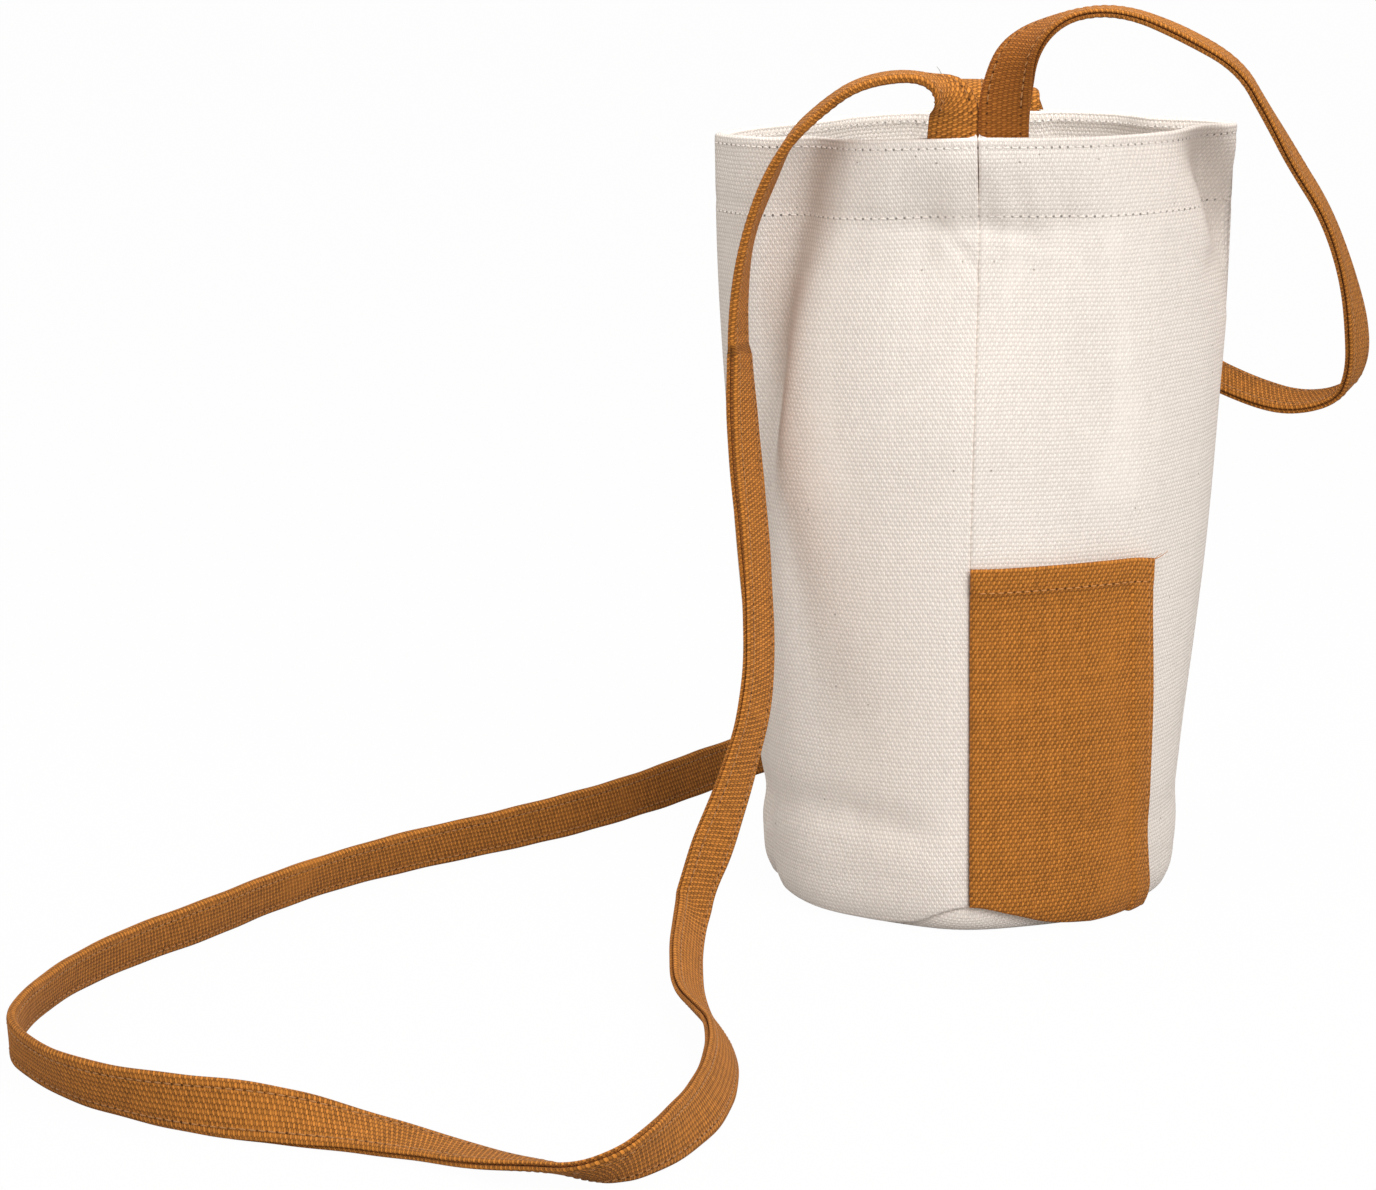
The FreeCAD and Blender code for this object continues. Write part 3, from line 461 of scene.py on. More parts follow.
def seam_roll():
    """The cloth's way round a seam: distances from the seam and offsets, from the hidden allowance out."""
    hidden = [(u, -2 * SEAM_RADIUS) for u in np.linspace(SEAM_ALLOWANCE, SEAM_RADIUS, 5)[:-1]]
    bend = [
        (SEAM_RADIUS - SEAM_RADIUS * math.sin(a), -SEAM_RADIUS + SEAM_RADIUS * math.cos(a))
        for a in np.linspace(math.pi, 0, 7)
    ]
    return hidden + bend


def turned_edge(radius, count):
    """Points round a folded edge: how far in from the edge each one lies, and how far behind the face."""
    turn = np.linspace(math.pi / 2, 0, count)
    return radius - radius * np.sin(turn), radius - radius * np.cos(turn)


# ---------------------------------------------------------------- materials


class Value:
    """A node's output that Python arithmetic acts on, by adding Math nodes."""

    def __init__(self, shader, socket):
        self.shader = shader
        self.socket = socket

    def __add__(self, other):
        return self.shader.math("ADD", self, other)

    __radd__ = __add__

    def __sub__(self, other):
        return self.shader.math("SUBTRACT", self, other)

    def __rsub__(self, other):
        return self.shader.math("SUBTRACT", other, self)

    def __mul__(self, other):
        return self.shader.math("MULTIPLY", self, other)

    __rmul__ = __mul__

    def __truediv__(self, other):
        return self.shader.math("DIVIDE", self, other)

    def __rtruediv__(self, other):
        return self.shader.math("DIVIDE", other, self)

    def __pow__(self, other):
        return self.shader.math("POWER", self, other)

    def __rpow__(self, other):
        return self.shader.math("POWER", other, self)

    def __abs__(self):
        return self.shader.math("ABSOLUTE", self)


class Shader:
    """The nodes of a material, or of the world, under construction."""

    def __init__(self, name, owners=None):
        self.owner = (bpy.data.materials if owners is None else owners).new(name)
        self.owner.use_nodes = True
        self.tree = self.owner.node_tree
        self.tree.nodes.clear()

    def node(self, kind, settings=None, sockets=None):
        """Adds a node: its settings come first, a ramp's stops among them, then values or links."""
        made = self.tree.nodes.new(kind)
        for key, value in (settings or {}).items():
            if key == "stops":
                for index, (place, colour) in enumerate(value):
                    stops = made.color_ramp.elements
                    stop = stops[index] if index < len(stops) else stops.new(place)
                    stop.position = place
                    stop.color = (*colour, 1.0)
            else:
                setattr(made, key, value)
        for key, value in (sockets or {}).items():
            self.feed(self.find(made.inputs, key), value)
        return made

    def find(self, sockets, key):
        """A socket by its number, or by its identifier, or else by its name."""
        if isinstance(key, int):
            return sockets[key]
        for socket in sockets:
            if socket.identifier == key:
                return socket
        return sockets[key]

    def feed(self, socket, value):
        """Links a Value to a socket, or sets the socket's own value; a colour may leave out its alpha."""
        if isinstance(value, Value):
            self.tree.links.new(value.socket, socket)
        elif socket.type == "RGBA" and len(value) == 3:
            socket.default_value = (*value, 1.0)
        else:
            socket.default_value = value

    def out(self, made, key=0):
        return Value(self, self.find(made.outputs, key))

    def math(self, operation, *values):
        return self.out(self.node("ShaderNodeMath", {"operation": operation}, dict(enumerate(values))))

    def step(self, value, low, high):
        """0 below low and 1 above high, smooth between; low may be above high."""
        made = self.node(
            "ShaderNodeMapRange", {"interpolation_type": "SMOOTHSTEP"},
            {"Value": value, "From Min": low, "From Max": high},
        )
        return self.out(made, "Result")

    def vector(self, x, y, z=0.0):
        return self.out(self.node("ShaderNodeCombineXYZ", None, {0: x, 1: y, 2: z}))

    def noise(self, where, scale, detail=2.0, roughness=0.5):
        made = self.node(
            "ShaderNodeTexNoise", None,
            {"Vector": where, "Scale": scale, "Detail": detail, "Roughness": roughness},
        )
        return self.out(made, "Fac")

    def white(self, *where):
        """A number from 0 to 1 that every place has at random."""
        made = self.node(
            "ShaderNodeTexWhiteNoise", {"noise_dimensions": "3D"}, {"Vector": self.vector(*where)}
        )
        return self.out(made, "Value")

    def mix(self, factor, first, second, blend="MIX"):
        made = self.node(
            "ShaderNodeMix", {"data_type": "RGBA", "blend_type": blend},
            {"Factor_Float": factor, "A_Color": first, "B_Color": second},
        )
        return self.out(made, "Result_Color")

    def shade(self, colour, tone):
        """A colour made lighter or darker by a tone of about 1."""
        grey = self.node("ShaderNodeCombineColor", None, {0: tone, 1: tone, 2: tone})
        return self.mix(1.0, colour, self.out(grey), "MULTIPLY")

    def bump(self, height, strength=1.0):
        """Normals that follow a height in metres."""
        made = self.node("ShaderNodeBump", None, {"Strength": strength, "Distance": 1.0, "Height": height})
        return self.out(made)

    def seen(self):
        """1 for camera, glossy and transmission rays, and 0 for the rays that only carry light."""
        path = self.node("ShaderNodeLightPath")
        either = self.math("MAXIMUM", self.out(path, "Is Camera Ray"), self.out(path, "Is Glossy Ray"))
        return self.math("MAXIMUM", either, self.out(path, "Is Transmission Ray"))

    def blend(self, factor, first, second):
        """A mix of two surfaces."""
        return self.node("ShaderNodeMixShader", None, {0: factor, 1: self.out(first), 2: self.out(second)})

    def finish(self, surface, output="ShaderNodeOutputMaterial"):
        self.node(output, None, {"Surface": self.out(surface)})
        return self.owner


def linear(hex_colour):
    """A colour written as on screen, made linear for the shader."""
    parts = [int(hex_colour[k:k + 2], 16) / 255 for k in (0, 2, 4)]
    return tuple(c / 12.92 if c <= 0.04045 else ((c + 0.055) / 1.055) ** 2.4 for c in parts)


def toned(colour, by, limit=1.0):
    """A colour with every channel multiplied, and held at or below a limit."""
    return tuple(min(limit, c * by) for c in colour)


# The weaves: millimetres between warp yarns and between weft yarns, the height of the relief in
# millimetres, and how strongly the yarns stand out in tone, partly by painted shade in the gaps between them.
CREAM_WEAVE = {"warp": 0.74, "weft": 1.33, "relief": 0.24, "contrast": 0.19}
POCKET_WEAVE = {"warp": 0.72, "weft": 1.28, "relief": 0.36, "contrast": 0.8}
STRAP_WEAVE = {"warp": 0.76, "weft": 1.6, "relief": 0.36, "contrast": 0.9}

# Specks of seed, what shadows keep of a cloth's colour, what a needle hole keeps of its shadow's, and how
# much lighter worn cloth is.
CREAM_FLECK = linear("7a6d60")
TAN_FLECK = linear("8f5a1e")
CREAM_SHADOW = 0.62
TAN_SHADOW = (0.5, 0.38, 0.3)
HOLE_SHADOW = 0.18
WORN_LIGHTER = 1.18

# Millimetres: a needle hole's inner and outer edge and its depth, where the painted shade on the short
# strap's front near the rim fades out, how far loose fibres rise, and how far warp and weft yarns wander.
HOLE_EDGES = (0.22, 0.48)
HOLE_DEPTH = 0.35
SHADE_START, SHADE_END = 42.0, 82.0
FUZZ_HEIGHT = 0.05
YARN_WANDER = (1.1, 1.3)


def ring_of_holes(shader, gap, along, pitch):
    """One on each needle hole of a row: the gap is the distance from the row, along runs along it."""
    beat = along / (pitch * MM)
    past = (beat - shader.math("ROUND", beat)) * (pitch * MM)
    spread = (past * past + gap * gap) ** 0.5
    return 1 - shader.step(spread, HOLE_EDGES[0] * MM, HOLE_EDGES[1] * MM)


def needle_holes(shader, u, v, rows, columns, pitch):
    """The needle holes of rows along the cloth and down it, deeper where the stitches are pulled tight."""
    nearest = None
    for row in rows:
        gap = abs(v - row * MM)
        nearest = gap if nearest is None else shader.math("MINIMUM", nearest, gap)
    hole = ring_of_holes(shader, nearest, u, pitch)
    for column in columns:
        hole = shader.math("MAXIMUM", hole, ring_of_holes(shader, abs(u - column * MM), v, pitch))
    tightness = shader.step(shader.noise(shader.vector(u, 9.0), 90.0), 0.34, 0.62)
    return hole * (0.25 + tightness * 0.75)


def plain_weave(shader, u, v, warp, weft):
    """The weave's height, from its gaps to the tops of its yarns, and its warp and weft yarns' numbers."""
    drift = shader.noise(shader.vector(u, v), 55.0) - 0.5
    sway = shader.noise(shader.vector(v, u, 3.0), 48.0) - 0.5
    down = (v + sway * (YARN_WANDER[1] * MM)) / (weft * MM)
    weft_yarn = shader.math("FLOOR", down)
    lean = (down - weft_yarn - 0.5) * 0.5
    along = (u + drift * (YARN_WANDER[0] * MM)) / (warp * MM) + lean
    warp_yarn = shader.math("FLOOR", along)
    down_wave, along_wave = shader.math("SINE", down * math.pi), shader.math("SINE", along * math.pi)
    warp_wave = shader.math("COSINE", warp_yarn * math.pi) * down_wave
    weft_wave = shader.math("COSINE", weft_yarn * math.pi) * along_wave
    warp_top = warp_wave * 0.55 + abs(along_wave) * 0.45
    weft_top = weft_wave * -0.26 + abs(down_wave) * 0.30 - 0.16
    return shader.math("MAXIMUM", warp_top, weft_top), warp_yarn, weft_yarn


def seed_specks(shader, spot):
    """1 on the few dark specks of seed in the cotton."""
    cell = shader.node(
        "ShaderNodeTexVoronoi", {"feature": "F1"}, {"Vector": spot, "Scale": 150.0, "Randomness": 1.0}
    )
    split = shader.node("ShaderNodeSeparateColor", None, {0: shader.out(cell, "Color")})
    near = 1 - shader.step(shader.out(cell, "Distance"), 0.03, 0.07)
    return near * shader.step(shader.out(split, 0), 0.55, 0.6)


def canvas_material(name, cloth, shadow, fleck, weave, hole_rows=(), hole_columns=(), hole_pitch=1.0,
                    hole_tone=0.8, worn=0.0, painted_shade=0.0):
    """Plain-woven cotton canvas on the piece's own cloth map, in metres along and down the cloth."""
    shader = Shader(name)
    place = shader.node("ShaderNodeUVMap", {"uv_map": "cloth"})
    split = shader.node("ShaderNodeSeparateXYZ", None, {0: shader.out(place)})
    u, v = shader.out(split, 0), shader.out(split, 1)
    spot = shader.vector(u, v)
    contrast = weave["contrast"]
    height, warp_yarn, weft_yarn = plain_weave(shader, u, v, weave["warp"], weave["weft"])
    yarn = shader.white(warp_yarn, 0.5, 0.0) * 0.6 + shader.white(0.5, weft_yarn, 7.0) * 0.4
    knot = shader.white(warp_yarn, weft_yarn, 2.0)
    fuzz = shader.noise(spot, 2600.0, 3.0, 0.65)
    cloud = shader.noise(spot, 22.0, 3.0, 0.55)
    # Painted shade: the weave's low places are darker and its yarn tops lighter, and its pits are mixed toward
    # the shadow colour.
    tone = (
        1.0
        + (shader.step(height, -0.05, 0.85) - 0.5) * contrast
        + (yarn - 0.5) * (0.25 * contrast)
        + (knot - 0.5) * (0.35 * contrast)
        + (fuzz - 0.5) * (0.35 * contrast)
        + (cloud - 0.5) * 0.10
    )
    pit = 1 - shader.step(height, 0.0, 0.4)
    colour = shader.shade(shader.mix(pit * min(0.6, contrast * 1.5), cloth, shadow), tone)
    colour = shader.mix(seed_specks(shader, spot) * 0.7, colour, fleck)
    if worn > 0:
        patch = shader.step(shader.noise(shader.vector(u, v * 0.5, 5.0), 34.0), 0.60, 0.72)
        colour = shader.mix(patch * worn, colour, toned(cloth, WORN_LIGHTER))
        height = height * (1 - patch * 0.75 * min(1.0, worn * 2))
    # Painted shade: the short strap's first stretch above the rim is mixed toward its shadow colour, fading out
    # along it.
    if painted_shade > 0:
        shaded_front = 1 - shader.step(u, SHADE_START * MM, SHADE_END * MM)
        colour = shader.mix(shaded_front * painted_shade, colour, shadow)
    relief = height * (weave["relief"] * MM) + fuzz * (FUZZ_HEIGHT * MM)
    if hole_rows:
        # Needle holes are dented in the relief and given painted shade, mixed toward a dark share of the shadow
        # colour.
        hole = needle_holes(shader, u, v, hole_rows, hole_columns, hole_pitch)
        colour = shader.mix(hole * hole_tone, colour, toned(shadow, HOLE_SHADOW))
        relief = relief - hole * (HOLE_DEPTH * MM)
    surface = shader.node(
        "ShaderNodeBsdfPrincipled", None,
        {
            "Base Color": colour,
            "Roughness": 0.92 + (fuzz - 0.5) * 0.1,
            "Normal": shader.bump(relief),
            "Specular IOR Level": 0.12,
            "Sheen Weight": 0.04,
            "Sheen Roughness": 0.6,
        },
    )
    return shader.finish(surface)


def thread_material(name, tone):
    """Twisted sewing thread."""
    shader = Shader(name)
    spot = shader.out(shader.node("ShaderNodeTexCoord"), "Object")
    ply = shader.noise(spot, 1400.0)
    surface = shader.node(
        "ShaderNodeBsdfPrincipled", None,
        {
            "Base Color": shader.shade(tone, 0.82 + ply * 0.36),
            "Roughness": 0.7,
            "Normal": shader.bump(ply * (0.12 * MM), 0.6),
            "Sheen Weight": 0.1,
        },
    )
    return shader.finish(surface)


STRAP_PITCH = 2.9
STRAP_ROWS = (-5.3, 5.3)

# Half of a strap's cross-section in millimetres, from the groove between its plies to the folded edge.
STRAP_HALF = [
    (-6.2, 0.0), (-7.3, 0.12), (-7.85, 0.34), (-8.0, 0.78), (-7.75, 1.18), (-7.1, 1.42), (-6.3, 1.5),
    (-5.7, 1.44), (-5.3, 1.30), (-4.9, 1.42), (-3.6, 1.5), (-1.2, 1.52), (1.2, 1.52), (3.6, 1.5), (4.9, 1.42),
    (5.3, 1.28), (5.7, 1.42), (6.4, 1.42), (7.2, 1.2), (7.8, 0.7), (8.0, 0.0),
]


def strap_section():
    """The strap's closed cross-section, and the distance round it to each of its points."""
    half = np.array(STRAP_HALF)
    loop = np.concatenate([half, half[-2:0:-1] * (1, -1)])
    return loop, lengths_along(loop)


STRAP_LOOP, STRAP_GIRTH = strap_section()
STRAP_HOLES = [float(g) for (x, _), g in zip(STRAP_LOOP, STRAP_GIRTH) if abs(x) == STRAP_ROWS[1]]


def get_material(key):
    """Each finish is made once, when a piece first asks for it."""
    found = bpy.data.materials.get(key)
    if found:
        return found
    tints = bpy.context.scene.picking_bag
    natural, tan = tuple(tints.natural_canvas), tuple(tints.tan_canvas)
    tan_shadow = tuple(c * by for c, by in zip(tan, TAN_SHADOW))
    cream = {
        "cloth": natural, "shadow": toned(natural, CREAM_SHADOW), "fleck": CREAM_FLECK, "weave": CREAM_WEAVE,
    }
    sewn_cream = {**cream, "hole_rows": RIM_ROWS, "hole_pitch": STITCH_PITCH}
    pocket = {
        "cloth": tan, "shadow": tan_shadow, "fleck": TAN_FLECK, "weave": POCKET_WEAVE, "worn": 0.15,
        "hole_rows": (HEM_ROW,), "hole_columns": (SIDE_ROW,), "hole_pitch": POCKET_PITCH,
    }
    strap = {
        **pocket, "cloth": toned(tan, 0.94), "weave": STRAP_WEAVE, "worn": 0.35,
        "hole_rows": STRAP_HOLES, "hole_columns": (), "hole_pitch": STRAP_PITCH, "hole_tone": 0.85,
    }
    canvases = {
        "natural_wall_canvas": {**sewn_cream, "worn": 0.15},
        # Painted light: the facings are the walls' cloth made a tenth lighter, standing in for light inside the
        # mouth.
        "natural_facing_canvas": {**sewn_cream, "cloth": toned(natural, 1.1, 0.95), "hole_tone": 0.35},
        "natural_base_canvas": cream,
        "tan_pocket_canvas": pocket,
        "tan_strap_canvas": strap,
        # The short strap carries painted shade on its front near the rim.
        "tan_short_strap_canvas": {**strap, "painted_shade": 0.6},
    }
    threads = {
        "natural_thread": toned(natural, 0.97),
        "grey_thread": linear("6b6a5e"),
        "tan_thread": tuple(tints.tan_thread),
        "strap_thread": toned(tints.tan_thread, 0.66),
    }
    return canvas_material(key, **canvases[key]) if key in canvases else thread_material(key, threads[key])


# ---------------------------------------------------------------- pieces


def settle(piece, slot, *nodes):
    """Hangs a piece on the frame and lets it stand for its CAD nodes."""
    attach(piece, "root")
    if nodes:
        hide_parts(*nodes)
    return piece


def panel_columns(edge, gap):
    """Columns and offsets across one panel: its edge at each seam, and whole columns a gap clear of both."""
    near_edge = [(float(SHAPE.column_of(u, False)), off) for u, off in edge]
    far_edge = [(float(SHAPE.column_of(u, True)), off) for u, off in edge][::-1]
    start, end = near_edge[-1][0] + gap, far_edge[0][0] - gap
    middle = [(float(c), 0.0) for c in range(SHAPE.NEAR_COLUMNS + SHAPE.FAR_COLUMNS) if start < c < end]
    return np.array(near_edge + middle + far_edge).T


def make_panel(name, finish, side, place, rim, heights, offsets, flip):
    """A sheet of canvas over a panel's columns and heights, mapped along the cloth and down from the rim."""
    u, far = SHAPE.reach_of(place)
    along = np.broadcast_to(np.where(far, 2 * PANEL_REACH - u, u), heights.shape)
    uvs = np.stack([along, rim - heights], axis=-1) * MM
    points = SHAPE.at(side, place, heights, offsets) * MM
    faces = grid_faces(*heights.shape, flip=flip)
    panel = make_object(name, points.reshape(-1, 3), faces, get_material(finish), uvs.reshape(-1, 2))
    thicken(panel)
    return panel


def make_wall(side, name, node):
    """One wall panel, turned in at the seams and rolled over at the rim and the foot."""
    place, offset = panel_columns(seam_roll(), 0.2)
    u, far = SHAPE.reach_of(place)
    rim, foot = SHAPE.rim_at(side, place, far), foot_height(u, side, far)
    rim_drops, rim_back = turned_edge(RIM_RADIUS, 5)
    foot_rises, foot_back = (values[::-1] for values in turned_edge(FOOT_RADIUS, 5))
    drops = [*rim_drops, 2.0, 2.8, 3.6, 4.4, 6.0, 8.0]
    shares = np.linspace(0, 1, WALL_ROWS + 2)[1:-1]
    top, low = rim - drops[-1], foot + foot_rises[0]
    heights = np.array(
        [rim - drop for drop in drops]
        + [top + (low - top) * share for share in shares]
        + [foot + rise for rise in foot_rises]
    )
    back = np.zeros(len(heights))
    back[:len(rim_back)], back[-len(foot_back):] = rim_back, foot_back
    shown = offset >= -2 * SEAM_RADIUS + 0.01
    wall = make_panel(
        name, "natural_wall_canvas", side, place, rim, heights,
        offset - back[:, None] * shown, flip=side > 0,
    )
    return settle(wall, "natural_canvas", node)


def strap_room(side, u, drop, far):
    """How much further in the facing lies where a strap's end is sewn under it."""
    room = STRAP_ROOM + ROOM_GAIN * soft_step(2, 18, drop)
    room = room + np.where(far, 0.0, np.maximum(seam_bulge(side, u, RIM_HEIGHT - 0.5 - drop), 0.0))
    return room * (1 - soft_step(*ROOM_EDGE, u))


def make_facing(side, name, node):
    """The facing inside one panel's rim, sewn along two lines, with its lower edge against the wall."""
    place, edge_back = panel_columns(list(zip(*turned_edge(RIM_RADIUS, 4))), 1.0)
    u, far = SHAPE.reach_of(place)
    rim = SHAPE.rim_at(side, place, far)
    rim_drops, rim_back = turned_edge(RIM_RADIUS, 5)
    sewn = [(2.0, 0.0), (2.6, -0.12), (3.2, -0.25), (3.8, -0.12), (5.0, 0.0)]
    plain = [(drop, 0.0) for drop in np.linspace(7, 23, 9)]
    lower = [(24.2, 0.0), (25.0, -0.2), (25.6, 0.1), (FACING_DEPTH, 0.75)]
    drops, back = np.array([*zip(rim_drops, rim_back), *sewn, *plain, *lower]).T[:, :, None]
    facing = make_panel(
        name, "natural_facing_canvas", side, place, rim, rim - drops,
        back + edge_back - FACING_INSET - strap_room(side, u, drops, far), flip=side < 0,
    )
    return settle(facing, "natural_canvas", node)


def make_base():
    """The round base: a flat disc that turns up inside the walls and puffs out under the near seam."""
    angles = np.arange(BASE_CORNERS) / BASE_CORNERS * 2 * math.pi
    wrapped, quarter, far = quarters(angles)
    lifted = foot_height(np.abs(quarter) / (math.pi / 2) * PANEL_REACH, np.sign(wrapped), far)
    puff = np.clip((lifted - FOOT_LOWEST) / 8.0, 0, 1)
    flat = SHAPE.outline(0.0, angles)
    toward = unit(flat)
    flat_radius = np.linalg.norm(flat, axis=1) - BASE_TURN
    rings = []
    for share in (0.04, 0.12, 0.22, 0.34, 0.46, 0.58, 0.69, 0.79, 0.88, 0.95, 1.0):
        ripple = 0.25 * np.sin(3 * angles + 9 * share) * math.sin(share * 9)
        rings.append((flat_radius * share, BASE_LIFT + np.abs(ripple) * (1 - share)))
    for height, rise, inset, swell in (
        (0.4, 0.0, 3.9, 0.7), (0.7, 0.1, 3.0, 1.2), (1.4, 0.3, 2.5, 1.9), (2.4, 1.2, 2.3, 2.0),
        (3.4, 2.4, 2.2, 1.8), (4.6, 4.0, 2.2, 0.9), (7.0, 3.6, 2.2, 0.0), (10.5, 3.0, 2.2, 0.0),
        (15.0, 2.0, 2.2, 0.0),
    ):
        level = height + rise * puff
        wall = np.linalg.norm(SHAPE.outline(level, angles), axis=1)
        rings.append((wall - inset + swell * puff, level))
    points = [(0.0, 0.0, BASE_LIFT)]
    uvs = [(0.0, 0.0)]
    for radius, height in rings:
        spots = toward * radius[:, None]
        cloth = toward * (radius + np.maximum(0.0, height - 1.5))[:, None]
        points += [(x, y, z) for (x, y), z in zip(spots, height)]
        uvs += [tuple(pair) for pair in cloth]
    faces = [(0, 1 + (k + 1) % BASE_CORNERS, 1 + k) for k in range(BASE_CORNERS)]
    faces += shifted(grid_faces(len(rings), BASE_CORNERS, ring=True), 1)
    base = make_object(
        "round_base", np.array(points) * MM, faces, get_material("natural_base_canvas"), np.array(uvs) * MM
    )
    thicken(base)
    return settle(base, "natural_canvas", "base_panel")


# The pocket in millimetres: its width, its rows of stitches below the mouth and from the near seam, how much
# further apart its places lie on the wall at the foot, the rounding of its edges, and where its hem ends.
POCKET_SPAN = 60.0
POCKET_PITCH = 2.6
HEM_ROW = 7.6
SIDE_ROW = POCKET_SPAN - 2.3
POCKET_SPREAD = 1.155
POCKET_EDGE = 1.1
HEM_EDGE = (7.9, 9.0)


def pocket_top(u):
    """Height of the pocket's mouth over the distance from the near seam."""
    return smooth_table((0, 15, 30, 44, 54, 60), (118.1, 118.5, 119.0, 119.3, 119.0, 118.0), u)


def rounded(gap, radius):
    """How full a rounded edge is at a distance in from it: 0 on the edge, 1 past its radius."""
    return np.sqrt(1 - (1 - np.clip(gap / radius, 0, 1)) ** 2)


def pocket_surfaces():
    """The pocket's places across, its drops below the mouth, and its outer and inner points."""
    edge = np.array([0.0, 0.06, 0.22, 0.45, 0.8, 1.1])
    across = np.array([
        0.0, 0.12, 0.45, 0.9, 1.3, *np.linspace(2.4, 49.4, 44),
        50.2, 51.0, 51.8, 52.6, 53.6, 55.0, 56.4, 57.6, *(POCKET_SPAN - edge[::-1]),
    ])
    down = [*edge, 1.8, 2.6, 3.6, 4.8, 6.0, 7.0, 7.6, 8.2, 8.8, 9.6, *np.linspace(11, 104, 86)]
    top = pocket_top(across)
    foot = foot_height(across * POCKET_SPREAD, 1, False) + 0.15
    heights = np.array(
        [top - (top - foot - 2.4) * (d / (down[-1] + 1.0)) for d in down]
        + [foot + rise for rise in (1.4, 0.9, 0.4, 0.1, 0.0)]
    )
    fall = top - heights
    # Millimetres: the layers of cloth, the dimples of the stitches, and how far the pocket stands off the wall.
    hem = 1 - soft_step(*HEM_EDGE, fall)
    turned = soft_step(POCKET_SPAN - HEM_EDGE[1], POCKET_SPAN - HEM_EDGE[0], across)
    layers = 1.1 + 1.0 * np.maximum(hem, turned) + 0.3 * np.minimum(hem, turned)
    stitched = 0.22 * bump(fall, HEM_ROW, 0.7) + 0.22 * bump(across, SIDE_ROW, 0.7)
    gape = 1.1 * np.exp(-fall / 16.0) * np.sin(np.clip(across / POCKET_SPAN, 0, 1) * math.pi)
    puff = 3.0 * bump(across, 42, 22.0) * bump(heights, 66, 50.0) * soft_step(4, 36, heights)
    ripple = 0.21 * np.sin(heights / 11.0 + across / 9.0) * soft_step(30, 58, across)
    crown = rounded(np.minimum(fall, POCKET_SPAN - across), POCKET_EDGE)
    seam_drop = 1.3 * (1 - rounded(across, 1.3))
    foot_drop = 1.5 * (1 - rounded(heights - foot, 1.4))
    middle = 0.55 + gape + puff + ripple + layers / 2
    outer = middle + (layers / 2 - stitched) * crown - seam_drop - foot_drop
    inner = middle - layers / 2 * crown - seam_drop * 0.2 - foot_drop * 0.3
    spread = POCKET_SPREAD - 0.09 * soft_step(2, 26, heights) - 0.065 * soft_step(10, 112, heights)
    place = SHAPE.column_of(across * spread, False)
    return across, fall, SHAPE.at(1, place, heights, outer), SHAPE.at(1, place, heights, inner)


def pocket_rows(across, fall, front):
    """Rows of stitches, as centres and directions, along the pocket's hem and down its free side."""
    rows, columns = fall.shape
    hem_line = np.array([read_line(HEM_ROW, fall[:, c], front[:, c]) for c in range(columns)])
    side_line = np.array([read_line(SIDE_ROW, across, front[r]) for r in range(rows)])
    side_fall = np.array([np.interp(SIDE_ROW, across, fall[r]) for r in range(rows)])
    found = []
    for places, line, first, last in ((across, hem_line, 1.5, SIDE_ROW), (side_fall, side_line, 1.0, 113.0)):
        beats = (np.arange(60) + 0.5) * POCKET_PITCH
        beats = beats[(beats > first) & (beats < last)]
        here, behind, ahead = (read_line(beats + step, places, line) for step in (0.0, -0.4, 0.4))
        found.append((here * MM, ahead - behind))
    return found


def make_pocket():
    """A patch sewn into the near seam and the foot, hemmed at its mouth and turned under on its free side."""
    across, fall, front, back = pocket_surfaces()
    rows, columns = fall.shape
    total = rows * columns
    uvs = np.stack([np.broadcast_to(across, fall.shape), fall], axis=-1).reshape(-1, 2) * MM
    faces = grid_faces(rows, columns, flip=True) + shifted(grid_faces(rows, columns), total)
    border = (
        list(range(columns))
        + [r * columns + columns - 1 for r in range(1, rows)]
        + [(rows - 1) * columns + c for c in range(columns - 2, -1, -1)]
        + [r * columns for r in range(rows - 2, 0, -1)]
    )
    for first, second in zip(border, border[1:] + border[:1]):
        faces.append((first, second, total + second, total + first))
    points = np.concatenate([front.reshape(-1, 3), back.reshape(-1, 3)]) * MM
    pocket = make_object(
        "patch_pocket", points, faces, get_material("tan_pocket_canvas"), np.concatenate([uvs, uvs])
    )
    settle(pocket, "tan_canvas", "pocket_panel")
    stitches = sew(
        "pocket_stitches", pocket_rows(across, fall, front), "tan_thread", "tan_canvas", length=1.9
    )
    corner = front[2, -4] * MM
    ends = loose_threads("pocket_thread_ends", "tan_thread", "tan_canvas", [
        (corner, (1, -0.25, 0.35), (0, -0.2, 1), 4.4, 0.34),
        (corner, (0.6, -0.3, 0.8), (1, 0, 0.2), 2.4, 0.3),
    ])


# ---------------------------------------------------------------- straps


# The straps in metres: their width, the spacing of their sections and the end without stitches, and along
# the long one where its joint lies, how sharply the lapped ply rises, and where past it the ply fades out.
STRAP_WIDTH = 0.016
STRAP_SPACING = 0.0016
UNSEWN_END = 0.016
LAP_START = 0.159
LAP_EDGE = 0.00004
LAP_RISE = 0.0012
LAP_FADE = (0.05, 0.09)

# Millimetres out of a strap's middle of the lapped ply and of the stitches, and how many stitches' room the
# rows leave free at its start.
LAP_HEIGHT = 1.15
STITCH_HEIGHT = 1.36
FIRST_STITCH = 9.5


def spline_points(name, points):
    """Points along the smooth spline that has these control points."""
    data = bpy.data.curves.new(name, "CURVE")
    data.dimensions = "3D"
    data.resolution_u = 20
    spline = data.splines.new("NURBS")
    spline.points.add(len(points) - 1)
    for control, point in zip(spline.points, points):
        control.co = (*point, 1.0)
    spline.order_u = 3
    spline.use_endpoint_u = True
    holder = add_object(name, data)
    graph = bpy.context.evaluated_depsgraph_get()
    mesh = bpy.data.meshes.new_from_object(holder.evaluated_get(graph))
    found = np.array([v.co for v in mesh.vertices], float)
    bpy.data.objects.remove(holder)
    bpy.data.meshes.remove(mesh)
    bpy.data.curves.remove(data)
    return found


